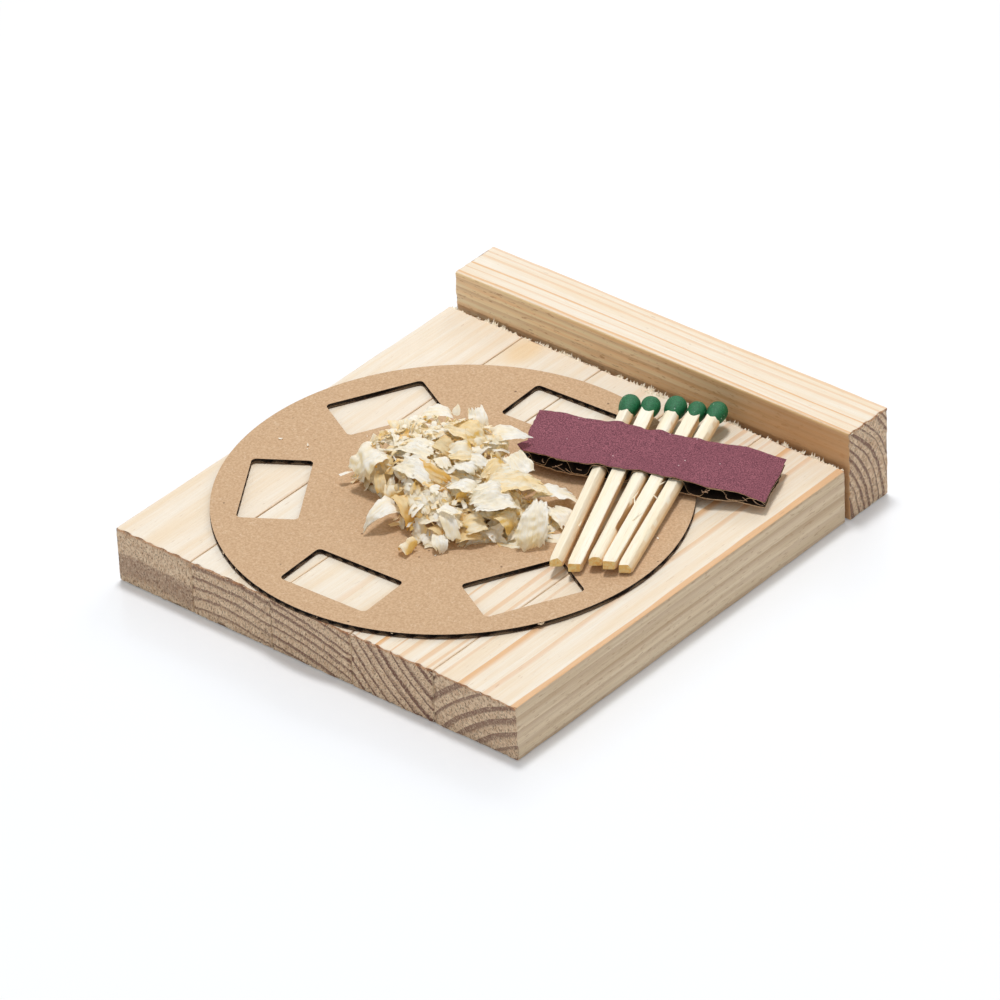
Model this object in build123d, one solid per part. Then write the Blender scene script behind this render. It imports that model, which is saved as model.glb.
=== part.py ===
from build123d import *
import math
import os

os.makedirs("parts", exist_ok=True)

# A pocket fire kit: a row of pine sticks with a sixth one behind them, and on the row a round
# slotted card that holds a heap of shavings and a strip of striking card with matches in it.
# Lengths are millimetres, turns are degrees. X runs across the row, Y along its sticks, Z up.
# The origin is the middle of the third stick's underside.

# Sticks
stick_length = 100.0
stick_thickness = 12.0
stick_widths = (19.2, 20.0, 20.1, 20.2, 20.4)
stick_seam = 0.1
stick_arris = 0.3
back_stick_height = 20.0
back_stick_thickness = 12.0
back_stick_gap = 1.0
back_stick_shift = 1.3

# Slotted disc of thin corrugated board, its middle measured from the row's middle and back edge
disc_diameter = 94.0
disc_x = -3.4
disc_to_back = 53.6
disc_liner = 0.2
disc_core = 0.7
disc_medium = 0.14
disc_flute_pitch = 2.4
disc_flute_turn = 70.0
slot_count = 6
slot_to_rim = 12.2
slot_turn = 212.6
slot_clearance = 0.2
slot_corner_radius = 1.0

# Matches, from left to right
match_length = 56.5
match_section = 2.3
match_arris = 0.2
first_match_x = -8.4
match_gaps = (1.7, 2.0, 1.55, 1.3)
match_yaws = (1.95, 1.35, 0.3, -1.3, -2.45)
match_pitches = (-0.3, 0.7, -0.7, -0.7, 0.4)
match_head_ends = (18.5, 19.1, 20.7, 20.4, 21.3)
head_diameters = (3.9, 3.8, 4.1, 3.7, 3.8)
head_length = 5.2
head_cover = 1.0
head_shoulder_share = 0.35

# Strip of striking card, crushed thinner towards its ends, its middle measured from the disc's
strip_span = 50.2
strip_depth_left = 13.6
strip_depth_right = 16.7
strip_slant = -2.5
strip_x = 25.0
strip_y = 29.6
strip_lift = 1.35
strip_turn = 22.0
strip_pitch = 1.6
strip_roll = 2.06
strip_liner = 0.2
strip_medium = 0.12
strip_paper = 0.1
strip_flute_half_pitch = 4.0
strip_web_slant = 0.2
strip_web_line = -3.5
match_play = 0.2
strip_left_core = 1.9
strip_right_core = 0.9
strip_zone_margin = 3.5

# Shavings, the heap's middle measured from the disc's
shaving_sheet = 0.3
shaving_lift = 0.3
heap_x = -0.6
heap_y = 0.6
heap_radius = 20.0
heap_height = 9.4
heap_turn = 22.0
flake_length = 8.0

overrun = 1.0


def stick_centres():
    """X of the middle of each stick in the row, counted from the third one."""
    lefts = [sum(stick_widths[:i]) + i * stick_seam for i in range(len(stick_widths))]
    middles = [left + width / 2 for left, width in zip(lefts, stick_widths)]
    return [middle - middles[len(middles) // 2] for middle in middles]


def sawn_stick(across, along, height):
    """A stick standing on Z = 0, with its edges worn round."""
    block = Box(across, along, height, align=(Align.CENTER, Align.CENTER, Align.MIN))
    return chamfer(block.edges(), stick_arris)


def flat_sticks():
    """The five sticks that lie side by side, each one a solid of its own."""
    sticks = {}
    for number, (x, width) in enumerate(zip(stick_centres(), stick_widths), start=1):
        sticks[f"stick_{number}"] = Pos(x, 0, 0) * sawn_stick(width, stick_length, stick_thickness)
    return sticks


def back_stick():
    """The sixth stick, on its narrow face across the back ends of the others."""
    y = stick_length / 2 + back_stick_gap + back_stick_thickness / 2
    stick = sawn_stick(stick_length, back_stick_thickness, back_stick_height)
    return Pos(back_stick_shift, y, 0) * stick


def mitred_side(points, offset):
    """The line beside a run of points, at a steady distance from each of its stretches."""
    side = []
    for i, point in enumerate(points):
        before = point - points[i - 1] if i > 0 else points[1] - points[0]
        after = points[i + 1] - point if i + 1 < len(points) else before
        before, after = before.normalized(), after.normalized()
        bisector = (before + after).normalized()
        normal = Vector(-bisector.Y, bisector.X, 0)
        side.append(point + normal * (offset / bisector.dot(before)))
    return side


def ribbon(points, thickness):
    """A thin closed face that follows a run of points."""
    upper = mitred_side(points, thickness / 2)
    lower = mitred_side(points, -thickness / 2)
    return make_face(Polyline(*upper, *reversed(lower), close=True))


def disc_outline():
    """The disc seen from above, with a slot the size of a stick's end for each stick."""
    long_side = max(stick_widths) + slot_clearance
    short_side = stick_thickness + slot_clearance
    slot = RectangleRounded(short_side, long_side, slot_corner_radius)
    radius = disc_diameter / 2
    return Circle(radius) - PolarLocations(radius - slot_to_rim, slot_count, slot_turn) * slot


def disc_wave():
    """The corrugated medium of the disc: flats against the liners, joined by sloping webs."""
    reach = disc_diameter / 2 + disc_flute_pitch
    crest = (disc_core - disc_medium) / 2
    quarter = disc_flute_pitch / 4
    points = []
    for i in range(math.ceil(2 * reach / disc_flute_pitch)):
        x = i * disc_flute_pitch - reach
        points.append(Vector(x, crest))
        points.append(Vector(x + quarter, crest))
        points.append(Vector(x + 2 * quarter, -crest))
        points.append(Vector(x + 3 * quarter, -crest))
    sheet = extrude(Plane.XZ * ribbon(points, disc_medium), amount=reach, both=True)
    turned = Rot(0, 0, disc_flute_turn - 90) * sheet
    return turned & extrude(disc_outline(), amount=disc_core / 2, both=True)


disc_frame = Pos(disc_x, stick_length / 2 - disc_to_back, stick_thickness)


def disc_layers():
    """The disc's two liners and the medium between them, resting on the row of sticks."""
    liner = extrude(disc_outline(), amount=disc_liner)
    core = disc_frame * Pos(0, 0, disc_liner)
    return {
        "disc_bottom_liner": disc_frame * liner,
        "disc_flute": core * Pos(0, 0, disc_core / 2) * disc_wave(),
        "disc_top_liner": core * Pos(0, 0, disc_core) * liner,
    }


disc_thickness = 2 * disc_liner + disc_core
strip_core = match_section + 2 * match_play + strip_medium
strip_foot = disc_frame * Pos(strip_x, strip_y, disc_thickness + strip_lift)
strip_frame = strip_foot * Rot(0, 0, strip_turn) * Rot(strip_pitch, strip_roll, 0)
match_places = [
    first_match_x + sum(match_gaps[:i]) + i * match_section for i in range(len(match_gaps) + 1)
]


def strip_outline():
    """The strip seen from above in its own frame, deeper at its right end."""
    half = strip_span / 2
    rise = half * math.tan(math.radians(strip_slant))
    left, right = strip_depth_left / 2, strip_depth_right / 2
    near_side = ((-half, -rise - left), (half, rise - right))
    far_side = ((half, rise + right), (-half, -rise + left))
    return make_face(Polyline(*near_side, *far_side, close=True))


def core_profile():
    """Points along the top of the strip's core: full height over the matches, less at the ends."""
    first = match_places[0] - strip_zone_margin
    last = match_places[-1] + strip_zone_margin
    end = strip_span / 2 + overrun
    sag = (strip_core + strip_right_core) / 2
    halfway = (last + end) / 2
    rounding = (strip_core - sag) / 4
    return (
        (-end, strip_left_core),
        ((first - end) / 2, (strip_left_core + strip_core) / 2 + rounding),
        (first, strip_core),
        (last, strip_core),
        (halfway, sag + rounding),
        (end, strip_right_core),
    )


def core_height(x):
    """Height of the strip's core at a distance along the strip."""
    profile = core_profile()
    for (x0, z0), (x1, z1) in zip(profile, profile[1:]):
        if x <= x1:
            return z0 + (z1 - z0) * (x - x0) / (x1 - x0)
    return profile[-1][1]


def web_places():
    """Places of the medium's webs: one between each two matches, then at an even pitch."""
    lines = [
        place - strip_web_line * math.tan(math.radians(yaw))
        for place, yaw in zip(match_places, match_yaws)
    ]
    webs = [(a + b) / 2 for a, b in zip(lines, lines[1:])]
    webs.insert(0, webs[0] - strip_flute_half_pitch)
    webs.append(webs[-1] + strip_flute_half_pitch)
    while webs[0] > -strip_span / 2:
        webs.insert(0, webs[0] - strip_flute_half_pitch)
    while webs[-1] < strip_span / 2:
        webs.append(webs[-1] + strip_flute_half_pitch)
    return webs


def strip_wave():
    """The strip's medium, which turns up and down between the matches."""
    webs = web_places()
    webs_before_matches = sum(web < match_places[0] for web in webs)
    low = strip_medium / 2
    points = []
    for i, web in enumerate(webs):
        high = core_height(web) - strip_medium
        rising = (webs_before_matches - i) % 2
        start, stop = (low, high) if rising else (high, low)
        points.append(Vector(web - strip_web_slant / 2, start))
        points.append(Vector(web + strip_web_slant / 2, stop))
    sheet = extrude(Plane.XZ * ribbon(points, strip_medium), amount=strip_depth_right, both=True)
    room = extrude(strip_outline(), amount=strip_core)
    return sheet & room


def bent_sheet(rise, thickness):
    """A sheet that follows the top of the core at a height above it."""
    under = [Vector(x, z + rise) for x, z in core_profile()]
    over = [point + Vector(0, thickness) for point in under]
    side = make_face(Polyline(*under, *reversed(over), close=True))
    sheet = extrude(Plane.XZ * side, amount=strip_depth_right, both=True)
    room = extrude(strip_outline(), amount=2 * strip_core)
    return sheet & room


def strip_layers():
    """The strip's liners, the medium between them and the striking paper on top."""
    core = strip_frame * Pos(0, 0, strip_liner)
    return {
        "strip_bottom_liner": strip_frame * extrude(strip_outline(), amount=strip_liner),
        "strip_flute": core * strip_wave(),
        "strip_top_liner": core * bent_sheet(0, strip_liner),
        "striker_paper": core * bent_sheet(strip_liner, strip_paper),
    }


def splint():
    """A match's stick along Y, from its foot to the end that the head covers."""
    length = match_length - head_cover
    foot = Box(match_section, length, match_section, align=(Align.CENTER, Align.MIN, Align.CENTER))
    return chamfer(foot.edges().filter_by(Axis.Y), match_arris)


def match_head(diameter):
    """An egg-shaped head round the splint's end, its tip at the full length of the match."""
    radius = diameter / 2
    waist = match_section / math.sqrt(2)
    foot = (0, match_length - head_length)
    neck = (waist, match_length - head_length)
    shoulder = (radius, match_length - radius - head_length * head_shoulder_share / 2)
    tip = (0, match_length)
    side = Spline(neck, shoulder, tip, tangents=((waist, radius), (0, 1), (-1, 0)))
    half = make_face(Curve() + [Line(foot, neck), side, Line(tip, foot)])
    return revolve(half, Axis.Y) - splint()


def match_frames():
    """Where each match lies: in a tunnel of the medium, alternately under and over it."""
    frames = []
    for i, place in enumerate(match_places):
        under_medium = i % 2 == 0
        floor = strip_liner if under_medium else strip_liner + strip_medium
        level = floor + match_play + match_section / 2
        lie = Rot(0, 0, match_yaws[i]) * Rot(match_pitches[i], 0, 0)
        back = Pos(0, match_head_ends[i] - match_length, 0)
        frames.append(strip_frame * Pos(place, 0, level) * lie * back)
    return frames


def matches():
    """Five matches, each one a splint and a head."""
    pieces = {}
    for number, (frame, diameter) in enumerate(zip(match_frames(), head_diameters), start=1):
        pieces[f"match_splint_{number}"] = frame * splint()
        pieces[f"match_head_{number}"] = frame * match_head(diameter)
    return pieces


def flake(length_share, width_share, curl_share):
    """A curled shaving, its axis along X, its crown at the origin and its hollow side down."""
    length = flake_length * length_share
    radius = flake_length * curl_share
    half_turn = math.degrees(flake_length * width_share / radius) / 2
    outer = CenterArc((0, -radius), radius, 90 - half_turn, 2 * half_turn)
    inner = CenterArc((0, -radius), radius - shaving_sheet, 90 - half_turn, 2 * half_turn)
    rims = [Line(outer @ 0, inner @ 0), Line(outer @ 1, inner @ 1)]
    section = make_face(Curve() + [outer, inner, *rims])
    return extrude(Plane.YZ * section, amount=length / 2, both=True)


# The heap's rings of flakes: how many, which places stay empty beside the strip, and as shares
# of the heap's radius and height where they lie. A flake's size is its length, its width and
# its curl, as shares of a flake's length.
ring_flake_shares = (1.0, 0.85, 0.95)
crown_flake_shares = (0.95, 0.8, 0.8)
skirt_flake_shares = (1.15, 0.85, 1.1)
ring_count = 8
crown_count = 4
skirt_count = 12
skirt_empty_places = (1, 2)
ring_distance_shares = (0.48, 0.47)
crown_distance_shares = (0.2, 0.2)
skirt_distance_shares = (0.94, 0.82)
ring_height_share = 0.38
crown_height_share = 0.78
skirt_height_share = 0.165
step_height_share = 0.1
ring_slope = 24.0
crown_slope = 14.0
skirt_slope = 12.0

# Single flakes: bearing about the heap's middle, then as shares the distance, the crown's
# height, the flake's length, width and curl, then its yaw, pitch and roll.
single_flake_shares = {
    "shavings_left": (
        (205, 0.92, 0.56, 1.10, 0.90, 0.50, 75, 0, 12),
        (202, 1.26, 0.10, 0.40, 0.25, 0.40, 20, 0, 0),
        (236, 0.98, 0.46, 0.60, 0.45, 0.40, 120, 10, 0),
    ),
    "shavings_front": (
        (258, 1.20, 0.12, 0.90, 0.30, 0.40, 70, 6, 0),
        (285, 1.16, 0.16, 0.45, 0.60, 0.23, 40, 0, 0),
        (288, 0.80, 0.43, 0.75, 0.50, 0.80, 10, 0, 10),
        (305, 0.74, 0.55, 0.85, 0.45, 0.60, 100, 0, 10),
    ),
    "shavings_right": (
        (350, 1.12, 0.48, 1.00, 1.00, 0.70, 100, 0, 0),
        (16, 0.84, 0.50, 1.20, 0.85, 0.80, 30, 0, 0),
    ),
    "shavings_back": (
        (48, 0.80, 0.36, 0.75, 0.65, 0.90, 20, 0, -10),
        (110, 0.84, 0.42, 0.90, 0.60, 0.60, 10, 0, -14),
        (143, 0.88, 0.40, 0.90, 0.65, 0.70, 40, 0, -10),
        (143, 0.90, 0.65, 0.75, 0.90, 0.36, 125, 0, 0),
        (124, 0.84, 0.75, 0.55, 0.75, 1.00, 50, 0, -62),
        (109, 0.80, 0.74, 0.60, 0.70, 1.00, 30, 0, -62),
    ),
}


def placed_flake(x, y, height_share, shares, yaw, pitch, roll):
    """A flake at its place in the heap, measured from the heap's middle."""
    z = disc_thickness + shaving_lift + heap_height * height_share
    turn = Rot(0, 0, yaw) * Rot(roll, pitch, 0)
    return disc_frame * Pos(heap_x + x, heap_y + y, z) * turn * flake(*shares)


def single_flake(bearing, distance_share, height_share, length, width, curl, yaw, pitch, roll):
    """A flake at its bearing and distance from the heap's middle."""
    distance = heap_radius * distance_share
    x = distance * math.cos(math.radians(bearing))
    y = distance * math.sin(math.radians(bearing))
    return placed_flake(x, y, height_share, (length, width, curl), yaw, pitch, roll)


def flake_ring(count, distance_shares, height_share, flake_shares, slope, empty_places=()):
    """An oval ring of flakes that slope outwards like shingles, every other one a step higher."""
    ring = []
    long_reach, short_reach = (heap_radius * share for share in distance_shares)
    turn = math.radians(heap_turn)
    for i in set(range(count)) - set(empty_places):
        along = long_reach * math.cos(math.tau * i / count)
        across = short_reach * math.sin(math.tau * i / count)
        x = along * math.cos(turn) - across * math.sin(turn)
        y = along * math.sin(turn) + across * math.cos(turn)
        height = height_share + step_height_share * (i % 2)
        yaw = math.degrees(math.atan2(y, x)) + 90
        ring.append(placed_flake(x, y, height, flake_shares, yaw, 0, slope))
    return ring


def shavings():
    """The heap of shavings in groups, every flake a solid of its own."""
    heap = {
        name: [single_flake(*row) for row in rows] for name, rows in single_flake_shares.items()
    }
    heap["shavings_skirt"] = flake_ring(
        skirt_count,
        skirt_distance_shares,
        skirt_height_share,
        skirt_flake_shares,
        skirt_slope,
        skirt_empty_places,
    )
    heap["shavings_ring"] = flake_ring(
        ring_count, ring_distance_shares, ring_height_share, ring_flake_shares, ring_slope
    )
    heap["shavings_crown"] = flake_ring(
        crown_count, crown_distance_shares, crown_height_share, crown_flake_shares, crown_slope
    )
    return {name: Compound(flakes) for name, flakes in heap.items()}


def main():
    """Writes every piece to a file that bears its name."""
    pieces = {}
    pieces.update(flat_sticks())
    pieces["back_stick"] = back_stick()
    pieces.update(disc_layers())
    pieces.update(strip_layers())
    pieces.update(matches())
    pieces.update(shavings())
    for name, shape in pieces.items():
        export_step(shape, f"parts/{name}.step")


main()
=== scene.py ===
"""The flat fire starting kit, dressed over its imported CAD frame.

Points and sizes are millimetres, and make_piece turns them into Blender's metres. Turns are
degrees. X runs across the row of sticks, Y along them and Z up.
"""

import math
import random

import bmesh
import bpy
from mathutils import Matrix, Vector, noise


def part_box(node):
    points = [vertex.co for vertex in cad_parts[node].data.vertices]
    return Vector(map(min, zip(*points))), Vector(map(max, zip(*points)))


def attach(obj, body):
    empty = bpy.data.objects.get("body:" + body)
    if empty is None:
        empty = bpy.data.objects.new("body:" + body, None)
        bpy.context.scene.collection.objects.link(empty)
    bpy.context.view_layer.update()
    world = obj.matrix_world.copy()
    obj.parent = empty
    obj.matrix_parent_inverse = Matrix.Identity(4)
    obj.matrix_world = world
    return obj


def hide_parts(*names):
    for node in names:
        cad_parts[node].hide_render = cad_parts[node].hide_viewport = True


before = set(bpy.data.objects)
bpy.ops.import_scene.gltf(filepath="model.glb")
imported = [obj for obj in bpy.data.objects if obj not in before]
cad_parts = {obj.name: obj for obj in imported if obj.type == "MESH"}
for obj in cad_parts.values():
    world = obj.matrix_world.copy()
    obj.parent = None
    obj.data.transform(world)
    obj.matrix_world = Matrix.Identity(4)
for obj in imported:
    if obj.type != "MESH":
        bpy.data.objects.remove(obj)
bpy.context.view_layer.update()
MM = 0.001
NUMBER = "NodeSocketFloat"
PLACE = "NodeSocketVector"


# Node trees


def paint(red, green, blue):
    """A colour as a screen shows it, from 0 to 255, as the linear colour that shaders use."""

    def linear(level):
        share = level / 255
        return share / 12.92 if share <= 0.04045 else ((share + 0.055) / 1.055) ** 2.4

    return (linear(red), linear(green), linear(blue), 1.0)


class Wiring:
    """Short ways to add nodes to one tree and to join them."""

    def __init__(self, tree):
        self.tree = tree

    def join(self, value, socket):
        if isinstance(value, bpy.types.NodeSocket):
            self.tree.links.new(value, socket)
        else:
            socket.default_value = value

    def node(self, kind, sockets=None, **settings):
        made = self.tree.nodes.new(kind)
        for name, value in settings.items():
            setattr(made, name, value)
        for name, value in (sockets or {}).items():
            self.join(value, made.inputs[name])
        return made

    def sum(self, operation, first, second=0.0):
        sockets = {0: first, 1: second}
        return self.node("ShaderNodeMath", sockets, operation=operation).outputs[0]

    def vector(self, operation, first, second=(0, 0, 0)):
        sockets = {0: first, 1: second}
        return self.node("ShaderNodeVectorMath", sockets, operation=operation).outputs

    def rise(self, value, low, high, start=0.0, stop=1.0):
        """A soft step: start below low, stop above high."""
        sockets = {"Value": value, "From Min": low, "From Max": high, "To Min": start, "To Max": stop}
        made = self.node("ShaderNodeMapRange", sockets, interpolation_type="SMOOTHSTEP")
        return made.outputs["Result"]

    def tint(self, share, first, second, way="MIX"):
        made = self.node("ShaderNodeMix", data_type="RGBA", blend_type=way)
        for value, index in ((share, 0), (first, 6), (second, 7)):
            self.join(value, made.inputs[index])
        return made.outputs[2]

    def cloud(self, place, scale, detail=2.0, roughness=0.5):
        """Noise over a place in millimetres; scale is per millimetre, one number or three."""
        if isinstance(scale, tuple):
            place = self.vector("MULTIPLY", place, scale)[0]
            scale = 1.0
        sockets = {"Vector": place, "Scale": scale, "Detail": detail, "Roughness": roughness}
        return self.node("ShaderNodeTexNoise", sockets).outputs["Fac"]

    def parts(self, place):
        """The X, Y and Z of a place."""
        return self.node("ShaderNodeSeparateXYZ", {0: place}).outputs

    def own_number(self, value):
        """A random number from 0 to 1 that stays the same for the same value."""
        made = self.node("ShaderNodeTexWhiteNoise", {"W": value}, noise_dimensions="1D")
        return made.outputs["Value"]

    def specks(self, place, scale, inner, outer, rarity, soft=0.04):
        """Round specks in the rarer cells of a scatter: whole within inner, gone past outer."""
        cells = self.node("ShaderNodeTexVoronoi", {"Vector": place, "Scale": scale}).outputs
        near = self.rise(cells["Distance"], inner, outer, 1.0, 0.0)
        chosen = self.node("ShaderNodeSeparateColor", {0: cells["Color"]}).outputs[0]
        return self.sum("MULTIPLY", near, self.rise(chosen, rarity, rarity + soft))

    def group(self, tree, **sockets):
        made = self.node("ShaderNodeGroup")
        made.node_tree = tree
        for name, value in sockets.items():
            self.join(value, made.inputs[name.replace("_", " ").title()])
        return made.outputs


def shader_group(name, inputs, outputs):
    """An empty group with named sockets, its wiring, its inputs and its outputs."""
    tree = bpy.data.node_groups.new(name, "ShaderNodeTree")
    for label, kind, value in inputs:
        socket = tree.interface.new_socket(name=label, in_out="INPUT", socket_type=kind)
        socket.default_value = value
    for label in outputs:
        tree.interface.new_socket(name=label, in_out="OUTPUT", socket_type=NUMBER)
    wires = Wiring(tree)
    entry = wires.node("NodeGroupInput").outputs
    leave = wires.node("NodeGroupOutput").inputs
    return tree, wires, entry, leave


def make_growth_rings():
    """Year rings round a pith line along Y: pale early wood that darkens to a sharp late edge."""
    inputs = (
        ("Place", PLACE, (0, 0, 0)),
        ("Spacing", NUMBER, 2.0),
        ("Shift", NUMBER, 0.0),
        ("Waviness", NUMBER, 0.6),
    )
    tree, wires, entry, leave = shader_group("growth_rings", inputs, ("Late Wood", "Ring Tone"))
    drift = wires.cloud(entry["Place"], (0.09, 0.012, 0.09), 3.0)
    drift = wires.sum("MULTIPLY", wires.sum("SUBTRACT", drift, 0.5), entry["Waviness"])
    spoke = wires.vector("MULTIPLY", entry["Place"], (1, 0, 1))[0]
    radius = wires.sum("ADD", wires.vector("LENGTH", spoke)["Value"], drift)
    rings = wires.sum("ADD", wires.sum("DIVIDE", radius, entry["Spacing"]), entry["Shift"])
    uneven = wires.node("ShaderNodeTexNoise", {"W": rings, "Scale": 0.7}, noise_dimensions="1D")
    rings = wires.sum("ADD", rings, uneven.outputs["Fac"])
    part = wires.sum("FRACT", rings)
    whole = wires.sum("FLOOR", rings)
    tone = wires.own_number(whole)
    rising = wires.rise(part, 0.3, 0.9)
    falling = wires.rise(part, 0.92, 1.0, 1.0, 0.0)
    wires.join(wires.sum("MULTIPLY", rising, falling), leave["Late Wood"])
    wires.join(tone, leave["Ring Tone"])
    return tree


def make_long_grain():
    """Streaks, fine fibres and short dark pores that run along Y."""
    outputs = ("Streaks", "Fibres", "Pores")
    tree, wires, entry, leave = shader_group("long_grain", (("Place", PLACE, (0, 0, 0)),), outputs)
    wires.join(wires.cloud(entry["Place"], (0.45, 0.014, 0.45), 4.0, 0.6), leave["Streaks"])
    wires.join(wires.cloud(entry["Place"], (5.0, 0.12, 5.0), 3.0, 0.6), leave["Fibres"])
    pores = wires.cloud(entry["Place"], (3.2, 0.4, 3.2), 1.0)
    wires.join(wires.rise(pores, 0.7, 0.78), leave["Pores"])
    return tree


def make_sawn_end():
    """The torn, mottled look of wood sawn across its fibres, drawn out away from the pith."""
    inputs = (("Place", PLACE, (0, 0, 0)), ("Pith Distance", NUMBER, 50.0))
    outputs = ("Mottle", "Pits", "Fuzz")
    tree, wires, entry, leave = shader_group("sawn_end", inputs, outputs)
    parts = wires.parts(entry["Place"])
    angle = wires.sum("ARCTAN2", parts["Z"], parts["X"])
    around = wires.sum("MULTIPLY", angle, entry["Pith Distance"])
    spoke = wires.vector("MULTIPLY", entry["Place"], (1, 0, 1))[0]
    outwards = wires.vector("LENGTH", spoke)["Value"]
    place = wires.node("ShaderNodeCombineXYZ", {0: around, 1: parts["Y"], 2: outwards}).outputs[0]
    wires.join(wires.cloud(place, (1.5, 0.6, 0.8), 4.0, 0.7), leave["Mottle"])
    pits = wires.cloud(place, (3.4, 1.5, 1.9), 2.0, 0.6)
    wires.join(wires.rise(pits, 0.52, 0.66), leave["Pits"])
    fuzz = wires.cloud(place, (3.0, 1.5, 2.2), 2.0, 0.6)
    wires.join(wires.rise(wires.sum("SUBTRACT", 1.0, fuzz), 0.5, 0.68), leave["Fuzz"])
    return tree


def make_paper_fibres():
    """Mottled paper pulp with stray hair-like fibres and a few specks."""
    inputs = (("Place", PLACE, (0, 0, 0)), ("Grain", NUMBER, 2.2))
    outputs = ("Mottle", "Hairs", "Specks")
    tree, wires, entry, leave = shader_group("paper_fibres", inputs, outputs)
    wires.join(wires.cloud(entry["Place"], entry["Grain"], 4.0, 0.72), leave["Mottle"])
    line = wires.sum("ABSOLUTE", wires.sum("SUBTRACT", wires.cloud(entry["Place"], 0.9, 3.0), 0.5))
    patch = wires.rise(wires.cloud(entry["Place"], 0.6, 1.0), 0.5, 0.6)
    hair = wires.rise(line, 0.004, 0.014, 1.0, 0.0)
    wires.join(wires.sum("MULTIPLY", hair, patch), leave["Hairs"])
    wires.join(wires.specks(entry["Place"], 0.35, 0.05, 0.12, 0.72), leave["Specks"])
    return tree


growth_rings = make_growth_rings()
long_grain = make_long_grain()
sawn_end = make_sawn_end()
paper_fibres = make_paper_fibres()


def new_finish(name, gloss):
    """A material with one Principled shader of some gloss, its wiring and that shader."""
    finish = bpy.data.materials.new(name)
    finish.use_nodes = True
    wires = Wiring(finish.node_tree)
    surface = finish.node_tree.nodes["Principled BSDF"]
    surface.inputs["Specular IOR Level"].default_value = gloss
    return finish, wires, surface


def blend_in(finish, wires, surface, share, second):
    """Mixes a second shader into a finish by a share from 0 to 1."""
    mix = wires.node("ShaderNodeMixShader", {0: share, 1: surface.outputs[0], 2: second.outputs[0]})
    out = finish.node_tree.nodes["Material Output"]
    wires.join(mix.outputs[0], out.inputs["Surface"])


def place_in_mm(wires, shift=(0, 0, 0), turn=0.0):
    """The object's own coordinates in millimetres, turned about Z and then shifted."""
    place = wires.node("ShaderNodeTexCoord").outputs["Object"]
    sockets = {
        "Vector": place,
        "Location": shift,
        "Rotation": (0, 0, math.radians(turn)),
        "Scale": (1000, 1000, 1000),
    }
    return wires.node("ShaderNodeMapping", sockets).outputs[0]


def facing(wires, direction, low=0.5, high=0.8):
    """1 on faces that look along a direction or away from it, 0 on the others."""
    normal = wires.node("ShaderNodeNewGeometry").outputs["Normal"]
    along = wires.sum("ABSOLUTE", wires.vector("DOT_PRODUCT", normal, direction)["Value"])
    return wires.rise(along, low, high)


def dent(wires, surface, height, depth, strength=0.6):
    """Feeds a height from 0 to 1 into the surface's normal; depth is in millimetres."""
    sockets = {"Height": height, "Distance": depth * MM, "Strength": strength}
    bump = wires.node("ShaderNodeBump", sockets)
    wires.join(bump.outputs["Normal"], surface.inputs["Normal"])


# Finishes

cream_wood = paint(243, 234, 219)
warm_wood = paint(240, 223, 198)
late_wood = paint(226, 170, 108)
pore_brown = paint(170, 126, 86)
end_light = paint(243, 217, 184)
end_dark = paint(206, 170, 136)
end_late = paint(122, 84, 70)
end_pit = paint(92, 58, 40)
# Colour of the painted glow along the top edge of the sawn ends
painted_edge_glow = paint(206, 138, 84)
edge_line = paint(236, 182, 130)
# Colour of the painted highlight along the top of a stick's side
painted_rim_highlight = paint(252, 218, 158)
patch_tone = paint(240, 204, 148)
edge_line_strength = 0.3
flank_fade_start, flank_fade_stop = -45.0, 12.0


def flank_tone(wires, place, grain, late, sides):
    """The planed side of a stick, browner than its top, with long wavy dark lines and, where the look asks
    for it, a painted highlight along its top edge.
    """
    waves = wires.cloud(place, (0.5, 0.02, 0.9), 3.0)
    colour = wires.tint(wires.rise(waves, 0.3, 0.7), grain["flank_light"], grain["flank_dark"])
    colour = wires.tint(wires.sum("MULTIPLY", late, grain["flank_rings"]), colour, grain["flank_line"])
    specks = wires.rise(wires.cloud(place, (2.6, 0.5, 2.6), 2.0), 0.6, 0.7, 0.0, 0.5)
    colour = wires.tint(specks, colour, grain["flank_line"])
    fibres = wires.rise(sides["Fibres"], 0.3, 0.7, 0.0, 0.3)
    colour = wires.tint(fibres, colour, warm_wood, "MULTIPLY")
    parts = wires.parts(place)
    fade = wires.rise(parts["Y"], flank_fade_start, flank_fade_stop, grain["flank_fade"], 0.0)
    colour = wires.tint(fade, colour, grain["flank_far"])
    top = grain["height"] - grain["pith"][1]
    # Painted highlight: a pale warm band along the top of the side, as strong as the look's rim share
    rim = wires.rise(parts["Z"], top - 0.9, top - 0.1, 0.0, grain["rim"])
    colour = wires.tint(rim, colour, painted_rim_highlight)
    if "knot" in grain:
        offset = wires.vector("SUBTRACT", place, grain["knot"])[0]
        offset = wires.vector("MULTIPLY", offset, (0.0, 0.45, 0.9))[0]
        reach = wires.sum("ADD", wires.vector("LENGTH", offset)["Value"], wires.sum("MULTIPLY", waves, 0.6))
        colour = wires.tint(wires.rise(reach, 0.5, 1.5, 0.75, 0.0), colour, grain["flank_line"])
    return colour


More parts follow.
